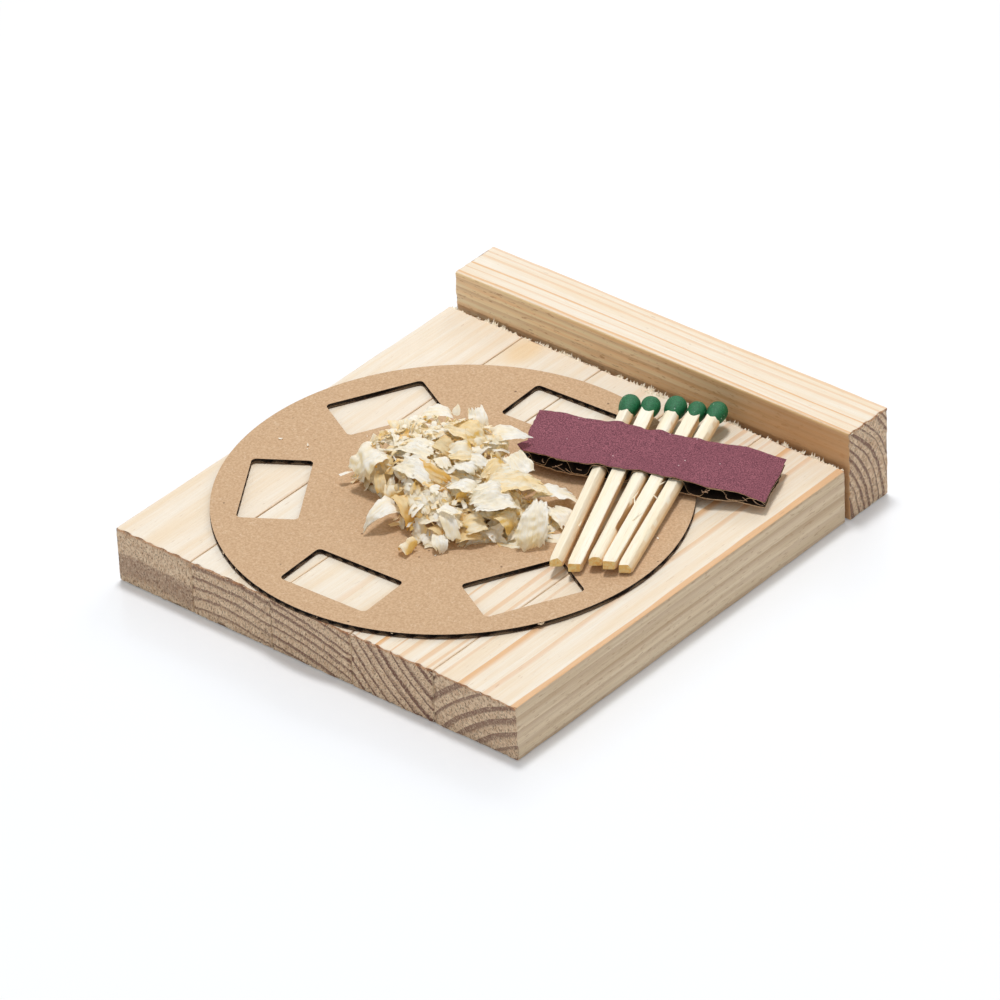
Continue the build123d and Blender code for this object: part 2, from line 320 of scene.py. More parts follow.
def pine(name, grain):
    """Bare pine: rings round a pith, long grain on the sides, torn fibres on the ends and a painted glow
    along the ends' top edges.
    """
    finish, wires, surface = new_finish(name, 0.3)
    pith_x, pith_z = grain["pith"]
    place = place_in_mm(wires, (-pith_x, 0, -pith_z), grain["turn"])
    rings = wires.group(
        growth_rings,
        place=place,
        spacing=grain["spacing"],
        shift=grain["shift"],
        waviness=grain["waviness"],
    )
    late = wires.sum("MULTIPLY", rings["Late Wood"], wires.rise(rings["Ring Tone"], 0, 1, 0.55, 1))
    sides = wires.group(long_grain, place=place)
    long_colour = wires.tint(wires.rise(sides["Streaks"], 0.35, 0.7), cream_wood, warm_wood)
    chosen = wires.rise(rings["Ring Tone"], 0.2, 0.9, 0.45, 1.0)
    line = wires.sum("MULTIPLY", wires.rise(rings["Late Wood"], 0.45, 0.95), chosen)
    long_colour = wires.tint(wires.sum("MULTIPLY", line, grain["streaks"]), long_colour, late_wood)
    parts = wires.parts(place)
    across = wires.sum("ABSOLUTE", wires.sum("SUBTRACT", parts["X"], grain["middle"]))
    half = grain["half_width"]
    edge = wires.rise(across, half - 0.4, half - 0.1, 0.0, edge_line_strength)
    long_colour = wires.tint(edge, long_colour, edge_line)
    if "patch" in grain:
        offset = wires.vector("SUBTRACT", place, grain["patch"])[0]
        offset = wires.vector("MULTIPLY", offset, (0.2, 0.12, 0.0))[0]
        reach = wires.sum("ADD", wires.vector("LENGTH", offset)["Value"], sides["Streaks"])
        long_colour = wires.tint(wires.rise(reach, 0.7, 1.5, 0.6, 0.0), long_colour, patch_tone)
    fibres = wires.rise(sides["Fibres"], 0.35, 0.65, 0.0, 0.22)
    long_colour = wires.tint(fibres, long_colour, warm_wood, "MULTIPLY")
    long_colour = wires.tint(wires.sum("MULTIPLY", sides["Pores"], 0.3), long_colour, pore_brown)
    flank_colour = flank_tone(wires, place, grain, late, sides)
    turn = math.radians(grain["turn"])
    on_flank = facing(wires, (math.cos(turn), -math.sin(turn), 0))
    long_colour = wires.tint(on_flank, long_colour, flank_colour)
    ends = wires.group(sawn_end, place=place, pith_distance=grain["distance"])
    end_colour = wires.tint(wires.rise(ends["Mottle"], 0.35, 0.65), end_dark, end_light)
    end_colour = wires.tint(wires.sum("MULTIPLY", ends["Pits"], 0.62), end_colour, end_pit)
    torn = wires.sum("MULTIPLY", wires.sum("SUBTRACT", ends["Mottle"], 0.5), 1.3)
    lines = wires.rise(wires.sum("ADD", late, torn), 0.16, 0.62, 0.0, grain["end_rings"])
    end_colour = wires.tint(lines, end_colour, end_late)
    end_colour = wires.tint(wires.sum("MULTIPLY", ends["Fuzz"], 0.5), end_colour, end_light)
    top = grain["height"] - pith_z
    ragged = wires.sum("MULTIPLY", wires.cloud(place, 1.6, 2.0), 0.9)
    # Painted glow: an orange band along the top edge of each sawn end, as if light shone through the wood
    # there
    glow = wires.rise(wires.sum("ADD", parts["Z"], ragged), top - 0.25, top + 0.45, 0.0, 0.6)
    end_colour = wires.tint(glow, end_colour, painted_edge_glow)
    on_end = facing(wires, (-math.sin(turn), math.cos(turn), 0))
    wires.join(wires.tint(on_end, long_colour, end_colour), surface.inputs["Base Color"])
    wires.join(wires.rise(sides["Streaks"], 0.3, 0.7, 0.58, 0.72), surface.inputs["Roughness"])
    side_height = wires.sum("MULTIPLY", sides["Fibres"], 0.5)
    end_height = wires.sum("SUBTRACT", ends["Mottle"], wires.sum("MULTIPLY", ends["Pits"], 0.5))
    both = wires.node("ShaderNodeMix", {0: on_end, 2: side_height, 3: end_height}).outputs[0]
    dent(wires, surface, both, 0.5)
    return finish


never_clean = 1.4
brown_below, black_above = 12.0, 12.25


def kraft_board(name, least_ash, clean=0.8):
    """Brown board, burnt black on its cut faces.

    A face is clean where its normal's share along Z is over the value of clean, so never_clean
    burns every face. A burnt face is partly brown below one level and black above the other.
    """
    finish, wires, surface = new_finish(name, 0.2)
    place = place_in_mm(wires)
    pulp = wires.group(paper_fibres, place=place, grain=2.0)
    colour = wires.tint(wires.rise(pulp["Mottle"], 0.32, 0.68), paint(188, 153, 118), paint(212, 180, 145))
    colour = wires.tint(wires.sum("MULTIPLY", pulp["Hairs"], 0.45), colour, paint(240, 218, 190))
    colour = wires.tint(wires.sum("MULTIPLY", pulp["Specks"], 0.8), colour, paint(92, 66, 48))
    ash = wires.rise(wires.cloud(place, (1.4, 1.4, 1.4), 3.0), 0.45, 0.7, least_ash, least_ash + 0.18)
    low_ash = wires.rise(wires.parts(place)["Z"], brown_below, black_above, 0.6, 0.0)
    ash = wires.sum("MAXIMUM", ash, low_ash)
    burnt = wires.tint(ash, paint(24, 18, 16), paint(146, 110, 84))
    on_cut = wires.sum("SUBTRACT", 1.0, facing(wires, (0, 0, 1), clean - 0.3, clean))
    colour = wires.tint(on_cut, colour, burnt)
    wires.join(colour, surface.inputs["Base Color"])
    wires.join(wires.rise(pulp["Mottle"], 0.3, 0.7, 0.74, 0.86), surface.inputs["Roughness"])
    dent(wires, surface, pulp["Mottle"], 0.12)
    return finish


def plain_board(name, dark, light, grain=2.0, depth=0.1):
    """A board face of one make, mottled between two tones."""
    finish, wires, surface = new_finish(name, 0.2)
    pulp = wires.group(paper_fibres, place=place_in_mm(wires), grain=grain)
    colour = wires.tint(wires.rise(pulp["Mottle"], 0.3, 0.7), dark, light)
    wires.join(colour, surface.inputs["Base Color"])
    wires.join(wires.rise(pulp["Mottle"], 0.3, 0.7, 0.75, 0.9), surface.inputs["Roughness"])
    dent(wires, surface, pulp["Mottle"], depth)
    return finish


def striking_coat():
    """The gritty plum coating that a match is struck on."""
    finish, wires, surface = new_finish("striking_coat", 0.25)
    place = place_in_mm(wires)
    pulp = wires.group(paper_fibres, place=place, grain=4.0)
    colour = wires.tint(wires.rise(pulp["Mottle"], 0.36, 0.66), paint(166, 100, 112), paint(82, 42, 56))
    broad = wires.rise(wires.cloud(place, 0.14, 2.0), 0.35, 0.65, 0.0, 0.3)
    colour = wires.tint(broad, colour, paint(124, 70, 82))
    spark = wires.specks(place, 0.75, 0.07, 0.14, 0.86)
    colour = wires.tint(wires.sum("MULTIPLY", spark, 0.8), colour, paint(236, 214, 214))
    wires.join(colour, surface.inputs["Base Color"])
    wires.join(wires.rise(spark, 0.0, 1.0, 0.85, 0.3), surface.inputs["Roughness"])
    dent(wires, surface, pulp["Mottle"], 0.18, 0.8)
    return finish


def splint_wood():
    """Pale aspen with faint lengthwise lines, a golden cut foot and painted warm shade on its sides."""
    finish, wires, surface = new_finish("splint_wood", 0.3)
    place = place_in_mm(wires, turn=-22.0)
    grain = wires.group(long_grain, place=place)
    colour = wires.tint(wires.rise(grain["Streaks"], 0.3, 0.7), paint(253, 246, 228), paint(250, 237, 208))
    colour = wires.tint(wires.rise(grain["Fibres"], 0.5, 0.75, 0.0, 0.35), colour, paint(226, 196, 150))
    # Painted shade: the splints' side faces are tinted warm orange-brown, as if in the shade between the
    # matches
    painted_shade_sides = facing(wires, (0.93, 0.37, 0), 0.75, 0.98)
    colour = wires.tint(wires.sum("MULTIPLY", painted_shade_sides, 0.7), colour, paint(240, 192, 122))
    foot = facing(wires, (-0.37, 0.93, 0), 0.8, 0.95)
    rough = wires.cloud(place, 1.6, 3.0)
    golden = wires.tint(wires.rise(rough, 0.35, 0.65), paint(252, 206, 124), paint(255, 230, 164))
    wires.join(wires.tint(foot, colour, golden), surface.inputs["Base Color"])
    wires.join(wires.rise(grain["Streaks"], 0.3, 0.7, 0.55, 0.7), surface.inputs["Roughness"])
    dent(wires, surface, grain["Fibres"], 0.25)
    return finish


def match_compound():
    """Dried green match compound: a fine crust with small glassy grains in it."""
    finish, wires, surface = new_finish("match_compound", 0.4)
    place = place_in_mm(wires)
    crust = wires.cloud(place, 4.0, 3.0, 0.6)
    colour = wires.tint(wires.rise(crust, 0.35, 0.68), paint(10, 84, 48), paint(28, 114, 68))
    glassy = wires.specks(place, 1.1, 0.08, 0.18, 0.7, 0.05)
    colour = wires.tint(wires.sum("MULTIPLY", glassy, 0.7), colour, paint(196, 226, 208))
    wires.join(colour, surface.inputs["Base Color"])
    wires.join(wires.rise(glassy, 0.0, 1.0, 0.52, 0.12), surface.inputs["Roughness"])
    dent(wires, surface, wires.sum("ADD", crust, wires.sum("MULTIPLY", glassy, 0.4)), 0.16)
    return finish


def thin_shaving(name, lit, through, share, gold):
    """A shaving so thin that light comes through it: pale on top, with painted golden shade on its tilted
    folds.
    """
    finish, wires, surface = new_finish(name, 0.4)
    place = wires.node("ShaderNodeAttribute", attribute_name=flake_place).outputs["Vector"]
    ribs = wires.cloud(place, (0.3, 1.7, 1.0), 3.0, 0.6)
    fibres = wires.cloud(place, (0.8, 6.0, 1.0), 2.0, 0.6)
    own = wires.own_number(wires.parts(place)["Z"])
    patches = wires.cloud(place, (0.16, 0.26, 1.0), 1.0)
    tinge = wires.rise(wires.sum("ADD", patches, wires.sum("MULTIPLY", own, 0.16)), 0.44, 0.76, 0.0, gold)
    # Painted shade: faces that turn away from straight up are tinted towards the golden colour of light
    # that came through, more the further they turn
    painted_shade_on_slopes = wires.rise(facing(wires, (0, 0, 1), 0.35, 0.9), 0.0, 1.0, 1.0, 0.0)
    tinge = wires.sum("MULTIPLY", tinge, wires.rise(painted_shade_on_slopes, 0.0, 1.0, 0.6, 1.0))
    tinge = wires.sum("ADD", tinge, wires.sum("MULTIPLY", painted_shade_on_slopes, 0.4 * gold))
    colour = wires.tint(tinge, lit, through)
    colour = wires.tint(wires.rise(ribs, 0.45, 0.68, 0.0, 0.5 * gold), colour, through)
    colour = wires.tint(wires.rise(fibres, 0.5, 0.75, 0.0, 0.3), colour, through, "MULTIPLY")
    wires.join(colour, surface.inputs["Base Color"])
    wires.join(wires.rise(fibres, 0.3, 0.7, 0.38, 0.55), surface.inputs["Roughness"])
    height = wires.sum("ADD", ribs, wires.sum("MULTIPLY", fibres, 0.5))
    dent(wires, surface, height, 0.34, 0.85)
    glow = wires.node("ShaderNodeBsdfTranslucent", {"Color": wires.tint(0.85, colour, through)})
    blend_in(finish, wires, surface, share, glow)
    return finish


def studio_floor():
    """A white table that keeps a soft shadow and a faint reflection of what stands on it."""
    finish, wires, surface = new_finish("studio_floor", 0.5)
    surface.inputs["Base Color"].default_value = paint(246, 249, 253)
    surface.inputs["Roughness"].default_value = 0.22
    white = wires.node("ShaderNodeEmission", {"Color": (1, 1, 1, 1), "Strength": 1.0})
    seen = wires.node("ShaderNodeLightPath").outputs["Is Camera Ray"]
    place = wires.node("ShaderNodeTexCoord").outputs["Object"]
    away = wires.vector("LENGTH", place)["Value"]
    share = wires.sum("MULTIPLY", seen, wires.rise(away, 0.06, 0.26, 0.12, 0.95))
    blend_in(finish, wires, surface, share, white)
    return finish


# Meshes


def make_piece(name, points, faces, finishes, body, smooth=True, face_finishes=None):
    """A mesh object from millimetre points, in the row frame, that rides on a body."""
    mesh = bpy.data.meshes.new(name)
    mesh.from_pydata([(x * MM, y * MM, z * MM) for x, y, z in points], [], faces)
    for finish in finishes:
        mesh.materials.append(finish)
    if face_finishes:
        mesh.polygons.foreach_set("material_index", face_finishes)
    mesh.polygons.foreach_set("use_smooth", [smooth] * len(faces))
    shape = bmesh.new()
    shape.from_mesh(mesh)
    bmesh.ops.recalc_face_normals(shape, faces=shape.faces)
    shape.to_mesh(mesh)
    shape.free()
    piece = bpy.data.objects.new(name, mesh)
    bpy.context.scene.collection.objects.link(piece)
    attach(piece, body)
    return piece


def keep_corners(piece, angle=35.0):
    """Shades a piece smooth, apart from edges sharper than an angle."""
    limit = math.radians(angle)
    shape = bmesh.new()
    shape.from_mesh(piece.data)
    for edge in shape.edges:
        edge.smooth = len(edge.link_faces) != 2 or edge.calc_face_angle() < limit
    shape.to_mesh(piece.data)
    shape.free()


def ripple(point, scale, seed):
    """Smooth noise from -1 to 1; scale is per millimetre."""
    return noise.noise(Vector(point) * scale + Vector((seed * 7.3, seed * 3.1, seed * 5.7)))


class Mesh:
    """Points and faces gathered from several shapes."""

    def __init__(self):
        self.points, self.faces, self.finishes = [], [], []

    def add(self, points, faces):
        start = len(self.points)
        self.points += points
        self.faces += [tuple(start + i for i in face) for face in faces]
        self.finishes += [0] * len(faces)


def tube_sides(count, rows, start=0):
    """Faces between rings of points that follow each other from a start."""
    faces = []
    for row in range(rows):
        a = start + row * count
        b = a + count
        faces += [(a + k, a + (k + 1) % count, b + (k + 1) % count, b + k) for k in range(count)]
    return faces


# A sliver has four points at its root, four at its middle and one at its tip
sliver_faces = [(0, 1, 2, 3)] + tube_sides(4, 1) + [(4 + k, 4 + (k + 1) % 4, 8) for k in range(4)]


# Sticks

edge_lines = (0.0, 0.14, 0.34, 0.6)
stick_step = 0.55
stick_long_step = 3.0
stick_edge_radius = 0.32


def grid_lines(low, high, step, long_axis):
    """Places for a block's grid, close together at its edges and, at its ends, over a margin."""
    near = list(edge_lines)
    if long_axis:
        near += [edge_lines[-1] + (i + 1) * stick_step for i in range(3)]
    reach = near[-1]
    count = max(1, round((high - low - 2 * reach) / step))
    middle = [low + reach + (high - low - 2 * reach) * i / count for i in range(1, count)]
    return [low + n for n in near] + middle + [high - n for n in reversed(near)]


def worn_block(low, high, long_axis, seed):
    """A stick with rounded, chipped edges, planed sides and rough sawn ends."""
    lines = [
        grid_lines(low[a], high[a], stick_long_step if a == long_axis else stick_step, a == long_axis)
        for a in range(3)
    ]
    counts = [len(line) - 1 for line in lines]
    points, faces, index = [], [], {}

    def vertex(cell):
        if cell not in index:
            point = Vector(lines[a][cell[a]] for a in range(3))
            radius = stick_edge_radius * (1 + 0.5 * ripple(point, 0.35, seed))
            inner = Vector(min(max(point[a], low[a] + radius), high[a] - radius) for a in range(3))
            out = point - inner
            normal = out.normalized() if out.length > 0 else out
            point = inner + normal * min(radius, out.length)
            point += normal * ripple(point, 0.06, seed + 1) * 0.1
            sawn = abs(normal[long_axis])
            grit = 0.14 * ripple(point, 1.7, seed + 2) + 0.12 * ripple(point, 0.6, seed + 3)
            point += normal * (grit * sawn - 0.1 * sawn)
            edge = 0.0
            if sawn > 0.2:
                others = [a for a in range(3) if a != long_axis]
                reach = min(min(point[a] - low[a], high[a] - point[a]) for a in others)
                edge = max(0.0, 1 - reach / 0.9)
            chip = max(0.0, ripple(point, 0.9, seed + 4) - 0.03) * edge
            point[long_axis] -= math.copysign(1.3 * chip, normal[long_axis])
            index[cell] = len(points)
            points.append(point)
        return index[cell]

    for axis in range(3):
        first, second = [a for a in range(3) if a != axis]
        for side in (0, counts[axis]):
            for i in range(counts[first]):
                for j in range(counts[second]):
                    corners = []
                    for di, dj in ((0, 0), (1, 0), (1, 1), (0, 1)):
                        cell = [0, 0, 0]
                        cell[axis], cell[first], cell[second] = side, i + di, j + dj
                        corners.append(vertex(tuple(cell)))
                    faces.append(tuple(corners))
    return points, faces


def saw_fray(mesh, start, run, out, count, rng, lengths):
    """Torn fibres that stand out along an edge, each one a tapered blade with a bend in it."""
    for _ in range(count):
        along = rng.random()
        length = rng.uniform(*lengths) * (0.4 + 0.6 * abs(noise.noise(Vector((along * 9, 0, 5)))) * 2)
        width = rng.uniform(0.14, 0.42)
        root = start + run * along + Vector((0, 0, -rng.uniform(0.05, 0.5))) - out * 0.15
        lean = run.normalized() * rng.uniform(-0.45, 0.45)
        up = Vector((0, 0, rng.uniform(-0.1, 1.0)))
        ahead = (out * rng.uniform(0.3, 1.0) + lean + up).normalized()
        side = run.normalized() * width
        thick = Vector((0, 0, 1)) * rng.uniform(0.05, 0.14)
        bend = Vector((0, 0, rng.uniform(-0.25, 0.35))) * length
        middle = root + ahead * length * 0.55
        tip = root + ahead * length + bend
        points = [root - side, root - thick, root + side, root + thick]
        points += [middle - side * 0.7, middle - thick, middle + side * 0.7, middle + thick, tip]
        mesh.add(points, sliver_faces)


# Each stick's wood: its pith line, the spacing, shift and waviness of its rings, and how much they
# show as streaks along it and as rings on its ends
grain_words = ("pith", "spacing", "shift", "waviness", "streaks", "end_rings")
stick_grain = {
    "stick_1": ((-42.0, -88.0), 8.0, -0.32, 1.4, 0.12, 0.5),
    "stick_2": ((-23.0, -60.0), 2.3, 0.2, 1.8, 0.22, 0.75),
    "stick_3": ((-15.0, -58.0), 2.0, 0.4, 0.8, 0.28, 0.85),
    "stick_4": ((60.0, 47.0), 2.2, 0.1, 1.0, 0.9, 0.95),
    "stick_5": ((64.0, -27.0), 2.8, 0.5, 1.2, 0.75, 0.75),
    "back_stick": ((34.6, -1.2), 1.6, 0.3, 2.0, 0.72, 0.85),
}
row_look = {
    "turn": 0.0,
    "flank_light": paint(240, 222, 194),
    "flank_dark": paint(220, 198, 166),
    "flank_line": paint(180, 142, 108),
    "flank_far": paint(222, 202, 172),
    "flank_fade": 0.0,
    "flank_rings": 0.5,
    "rim": 0.0,
}
back_look = {
    "turn": -90.0,
    "flank_light": paint(255, 238, 202),
    "flank_dark": paint(250, 212, 164),
    "flank_line": paint(172, 114, 68),
    "flank_far": paint(206, 154, 104),
    "flank_fade": 0.8,
    "flank_rings": 0.34,
    # rim: share of the painted highlight along the top of the face
    "rim": 0.6,
}
knot_from_left, knot_height = 3.5, 8.0
patch_x, patch_y = -26.8, 45.8
fray_reach = 50.95


def stick_look(node, low, high):
    """What a stick's finish needs to know: its wood, and where its block lies round the pith."""
    crosswise = node == "back_stick"
    grain = dict(zip(grain_words, stick_grain[node]))
    grain.update(back_look if crosswise else row_look)
    pith_x, pith_z = grain["pith"]
    middle = (low + high) / 2
    sideways = middle.y if crosswise else middle.x
    grain["height"] = high.z
    grain["middle"] = sideways - pith_x
    grain["half_width"] = (high.y - low.y if crosswise else high.x - low.x) / 2
    grain["distance"] = math.hypot(sideways - pith_x, middle.z - pith_z)
    if crosswise:
        grain["knot"] = (low.y - pith_x, -low.x - knot_from_left, knot_height - pith_z)
    if node == "stick_2":
        grain["patch"] = (patch_x - pith_x, patch_y, 0.0)
    return grain


def fray_back_stick(mesh, low, high, rng):
    """Short fibres along the upper and lower edge of the back stick's right end."""
    run, out = Vector((0, 11.4, 0)), Vector((1, 0, 0))
    top = Vector((high.x - 0.15, low.y + 0.3, high.z - 0.2))
    saw_fray(mesh, top, run, out, 14, rng, (0.2, 0.5))
    foot = Vector((high.x - 0.15, low.y + 0.3, low.z + 0.5))
    saw_fray(mesh, foot, run, out, 20, rng, (0.2, 0.5))


def fray_row_stick(mesh, low, high, rng, tufted):
    """Long fibres at a stick's back edge, with a thick tuft on one stick, and short ones in front."""
    width = Vector((high.x - low.x - 0.6, 0, 0))
    backwards, forwards = Vector((0, 1, 0)), Vector((0, -1, 0))
    back = Vector((low.x + 0.3, high.y - 0.25, high.z - 0.1))
    saw_fray(mesh, back, width, backwards, 130, rng, (0.6, 1.6))
    if tufted:
        tuft = Vector((high.x - 9.0, high.y - 1.6, high.z))
        saw_fray(mesh, tuft, Vector((8.6, 1.0, 0)), backwards, 70, rng, (0.8, 2.0))
    for point in mesh.points:
        point.y = min(point.y, fray_reach)
    front = Vector((low.x + 0.3, low.y + 0.2, high.z - 0.25))
    saw_fray(mesh, front, width, forwards, 16, rng, (0.15, 0.4))
    foot = Vector((low.x + 0.3, low.y + 0.2, low.z + 0.55))
    saw_fray(mesh, foot, width, forwards, 26, rng, (0.2, 0.55))


def dress_sticks():
    """Six worn pine sticks, each with its own rings and frayed sawn edges."""
    fray_finish = plain_board("frayed_fibres", paint(246, 230, 200), paint(255, 247, 230), 1.2, 0.05)
    for seed, node in enumerate(stick_grain, start=1):
        low, high = (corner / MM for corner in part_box(node))
        crosswise = node == "back_stick"
        wood = pine(f"{node}_pine", stick_look(node, low, high))
        points, faces = worn_block(low, high, 0 if crosswise else 1, seed)
        piece = make_piece(f"{node}_sawn", points, faces, [wood], node)
        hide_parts(node)
        rng = random.Random(seed)
        mesh = Mesh()
        if crosswise:
            fray_back_stick(mesh, low, high, rng)
        else:
            fray_row_stick(mesh, low, high, rng, node == "stick_3")
        make_piece(f"{node}_fray", mesh.points, mesh.faces, [fray_finish], node, False)


# Disc

disc_middle = Vector((-3.4, -3.6, 12.0))
disc_radius = 47.0
disc_top = 13.1


def dress_disc():
    """The disc's layers keep their CAD shape and get board, burnt where the cutter went."""
    looks = {
        "disc_top_liner": kraft_board("disc_board_top", 0.0),
        "disc_flute": kraft_board("disc_board_middle", 0.02, never_clean),
        "disc_bottom_liner": kraft_board("disc_board_bottom", 0.25),
    }
    for node, look in looks.items():
        for material_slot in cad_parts[node].material_slots:
            material_slot.material = look


def torn_bits(name, spots, finish, body, rng):
    """Small torn crumbs: bent chips, each at (x, y, z, size)."""
    mesh = Mesh()
    for x, y, z, size in spots:
        turn = Matrix.Rotation(rng.uniform(0, math.tau), 3, "Z")
        across = size * rng.uniform(0.35, 0.7)
        thick = max(0.08, size * 0.08)
        outline = []
        for i in range(7):
            a = math.tau * i / 7
            r = rng.uniform(0.6, 1.0)
            outline.append(Vector((math.cos(a) * size / 2 * r, math.sin(a) * across / 2 * r, 0)))
        lift = rng.uniform(0.1, 0.35) * size
        points = []
        for level in (0, thick):
            for p in outline:
                curl = lift * (2 * p.x / size) ** 2
                points.append(Vector((x, y, z + curl + level)) + turn @ p)
        mesh.add(points, [tuple(range(7)), tuple(range(7, 14))] + tube_sides(7, 1))
    return make_piece(name, mesh.points, mesh.faces, [finish], body, False)


# Bearing and size of each tuft; a smaller bit lies on each
rim_tufts = ((-29.2, 1.6), (-118.9, 0.9), (-111.7, 0.8), (150.8, 0.9), (-64.0, 0.5), (-83.0, 0.5))


def dress_rim():
    """Pale tufts of torn paper that hang on the disc's burnt rim."""
    pale = plain_board("torn_paper", paint(206, 178, 144), paint(238, 220, 196), 1.6, 0.05)
    rng = random.Random(21)
    spots = []
    for bearing, size in rim_tufts:
        a = math.radians(bearing)
        edge = disc_middle + Vector((math.cos(a), math.sin(a), 0)) * disc_radius
        spots.append((edge.x, edge.y, 12.75, size))
        spots.append((edge.x - 0.1, edge.y + 0.2, 12.95, size * 0.6))
    torn_bits("disc_rim_tufts", spots, pale, "disc", rng)


# Strip

strip_frame = (
    Matrix.Translation((21.6, 26.0, 14.45))
    @ Matrix.Rotation(math.radians(22.0), 4, "Z")
    @ Matrix.Rotation(math.radians(1.6), 4, "X")
    @ Matrix.Rotation(math.radians(2.06), 4, "Y")
)
match_section = 2.3
match_length = 56.5
match_places = (-8.4, -4.4, -0.1, 3.75, 7.35)
match_yaws = (1.95, 1.35, 0.3, -1.3, -2.45)
match_pitches = (-0.3, 0.7, -0.7, -0.7, 0.4)
match_head_ends = (18.5, 18.6, 20.7, 20.1, 20.9)
match_gaps_below = (0.2, 0.32)
liner_thickness = 0.2

strip_far_edge = (
    (-26.0, 8.2), (-24.8, 8.2), (-20.1, 8.0), (-15.5, 7.1), (-11.5, 7.1), (-8.0, 7.7), (-5.0, 7.2),
    (-1.9, 6.8), (0.4, 7.2), (3.6, 6.7), (5.6, 6.6), (9.4, 6.5), (13.3, 6.9), (17.1, 7.7),
    (21.4, 7.5), (26.0, 7.5),
)
strip_near_edge = (
    (-26.0, -5.0), (-24.2, -5.8), (-22.6, -6.0), (-20.0, -6.5), (-16.5, -7.3), (-12.7, -7.5),
    (-8.2, -7.1), (-3.1, -7.0), (0.3, -6.7), (4.8, -7.1), (10.4, -7.3), (13.6, -7.8),
    (17.4, -7.2), (20.1, -6.8), (22.6, -7.2), (26.0, -7.3),
)
strip_left_end = ((0.0, -24.2), (0.09, -25.7), (0.19, -24.9), (0.26, -23.9), (0.4, -24.7), (1.0, -24.9))
strip_right_end = ((0.0, 25.4), (0.3, 25.2), (0.6, 25.5), (1.0, 25.3))
core_levels = ((-26.1, 1.9), (-19.0, 2.6), (-11.9, 2.82), (10.85, 2.82), (18.5, 2.1), (26.1, 0.9))
match_bulges = (0.34, 0.12, 0.26, 0.12, 0.3)
flute_webs = (
    -26.3, -22.3, -18.3, -14.3, -10.3, -6.3, -2.2, 1.79, 5.44, 9.44, 13.44, 17.44, 21.44, 25.44,
)
rising_web = 4


def between(table, x):
    """The value at x of a line through a table of (x, value) pairs."""
    for (x0, y0), (x1, y1) in zip(table, table[1:]):
        if x <= x1:
            return y0 + (y1 - y0) * (x - x0) / (x1 - x0)
    return table[-1][1]


def card_rise(u, v):
    """How far the strip's top bends up over the matches and sags between them."""
    bulge = -0.16 * math.exp(-((u / 11.0) ** 8))
    for place, yaw, height in zip(match_places, match_yaws, match_bulges):
        gap = u - (place - v * math.tan(math.radians(yaw)))
        bulge += (height + 0.16) * math.exp(-((gap / 1.5) ** 2))
    return bulge


def card_sheet(mesh, level, thickness, inset, jag, seed, finishes, columns=170, rows=44):
    """One layer of the strip. finishes are for its upper side, its under side and its edges."""
    grids = []
    for side in (0, 1):
        grid = []
        for i in range(columns + 1):
            for j in range(rows + 1):
                s, t = i / columns, j / rows
                left = between(strip_left_end, t) + jag * ripple((0, t * 14, 0), 1.0, seed)
                right = between(strip_right_end, t) + jag * 0.6 * ripple((9, t * 14, 0), 1.0, seed)
                u = left + inset + (right - left - 2 * inset) * s
                near = between(strip_near_edge, u) + inset + jag * 0.5 * ripple((u, 3, 0), 1.1, seed)
                far = between(strip_far_edge, u) - inset + jag * 0.5 * ripple((u, 8, 0), 1.1, seed)
                v = near + (far - near) * t
                z = level(u, v) + thickness * side
                grid.append(strip_frame @ Vector((u, v, z)))
        grids.append(grid)
    under, over = grids
    step = rows + 1
    total = len(under)
    cells = [(i * step + j) for i in range(columns) for j in range(rows)]
    mesh.add(under + over, [])
    start = len(mesh.points) - 2 * total
    for c in cells:
        corners = (c, c + 1, c + step + 1, c + step)
        mesh.faces.append(tuple(start + k for k in corners))
        mesh.finishes.append(finishes[1])
        mesh.faces.append(tuple(start + total + k for k in corners))
        mesh.finishes.append(finishes[0])
    rim = [i * step for i in range(columns + 1)]
    rim += [columns * step + j for j in range(1, step)]
    rim += [i * step + rows for i in range(columns - 1, -1, -1)]
    rim += [j for j in range(rows - 1, 0, -1)]
    for a, b in zip(rim, rim[1:] + rim[:1]):
        mesh.faces.append((start + a, start + b, start + total + b, start + total + a))
        mesh.finishes.append(finishes[2])


def flute_level(u):
    """Height of the middle of the strip's medium along the strip."""
    nearest = min(range(len(flute_webs)), key=lambda i: abs(flute_webs[i] - u))
    high = between(core_levels, u) - 0.16
    low = 0.07
    upward = (nearest - rising_web) % 2 == 0
    offset = (u - flute_webs[nearest]) / 0.75
    share = 1 / (1 + math.exp(-3.0 * offset)) if upward else 1 / (1 + math.exp(3.0 * offset))
    return low + (high - low) * share


# Torn fibres that hang out of the strip's flutes: place along the strip, height, length, bearing, curl
strip_fibres = (
    (-17.0, 0.6, 3.4, -78.0, 0.5), (-15.6, 1.4, 2.6, -110.0, -0.7), (-14.9, 0.5, 2.8, -60.0, 0.9),
    (-19.8, 1.2, 2.2, -95.0, 0.4), (-12.6, 1.1, 1.8, -70.0, 0.6), (12.6, 1.3, 2.6, -84.0, 0.6),
    (14.2, 1.8, 3.0, -60.0, -0.8), (17.4, 0.9, 2.4, -100.0, 0.7), (20.6, 0.7, 2.0, -75.0, 0.5),
    (22.8, 0.8, 2.6, -58.0, 0.7), (-22.6, 0.9, 1.6, -110.0, 0.5),
)
fibre_radius = 0.09
fibre_rings = 9


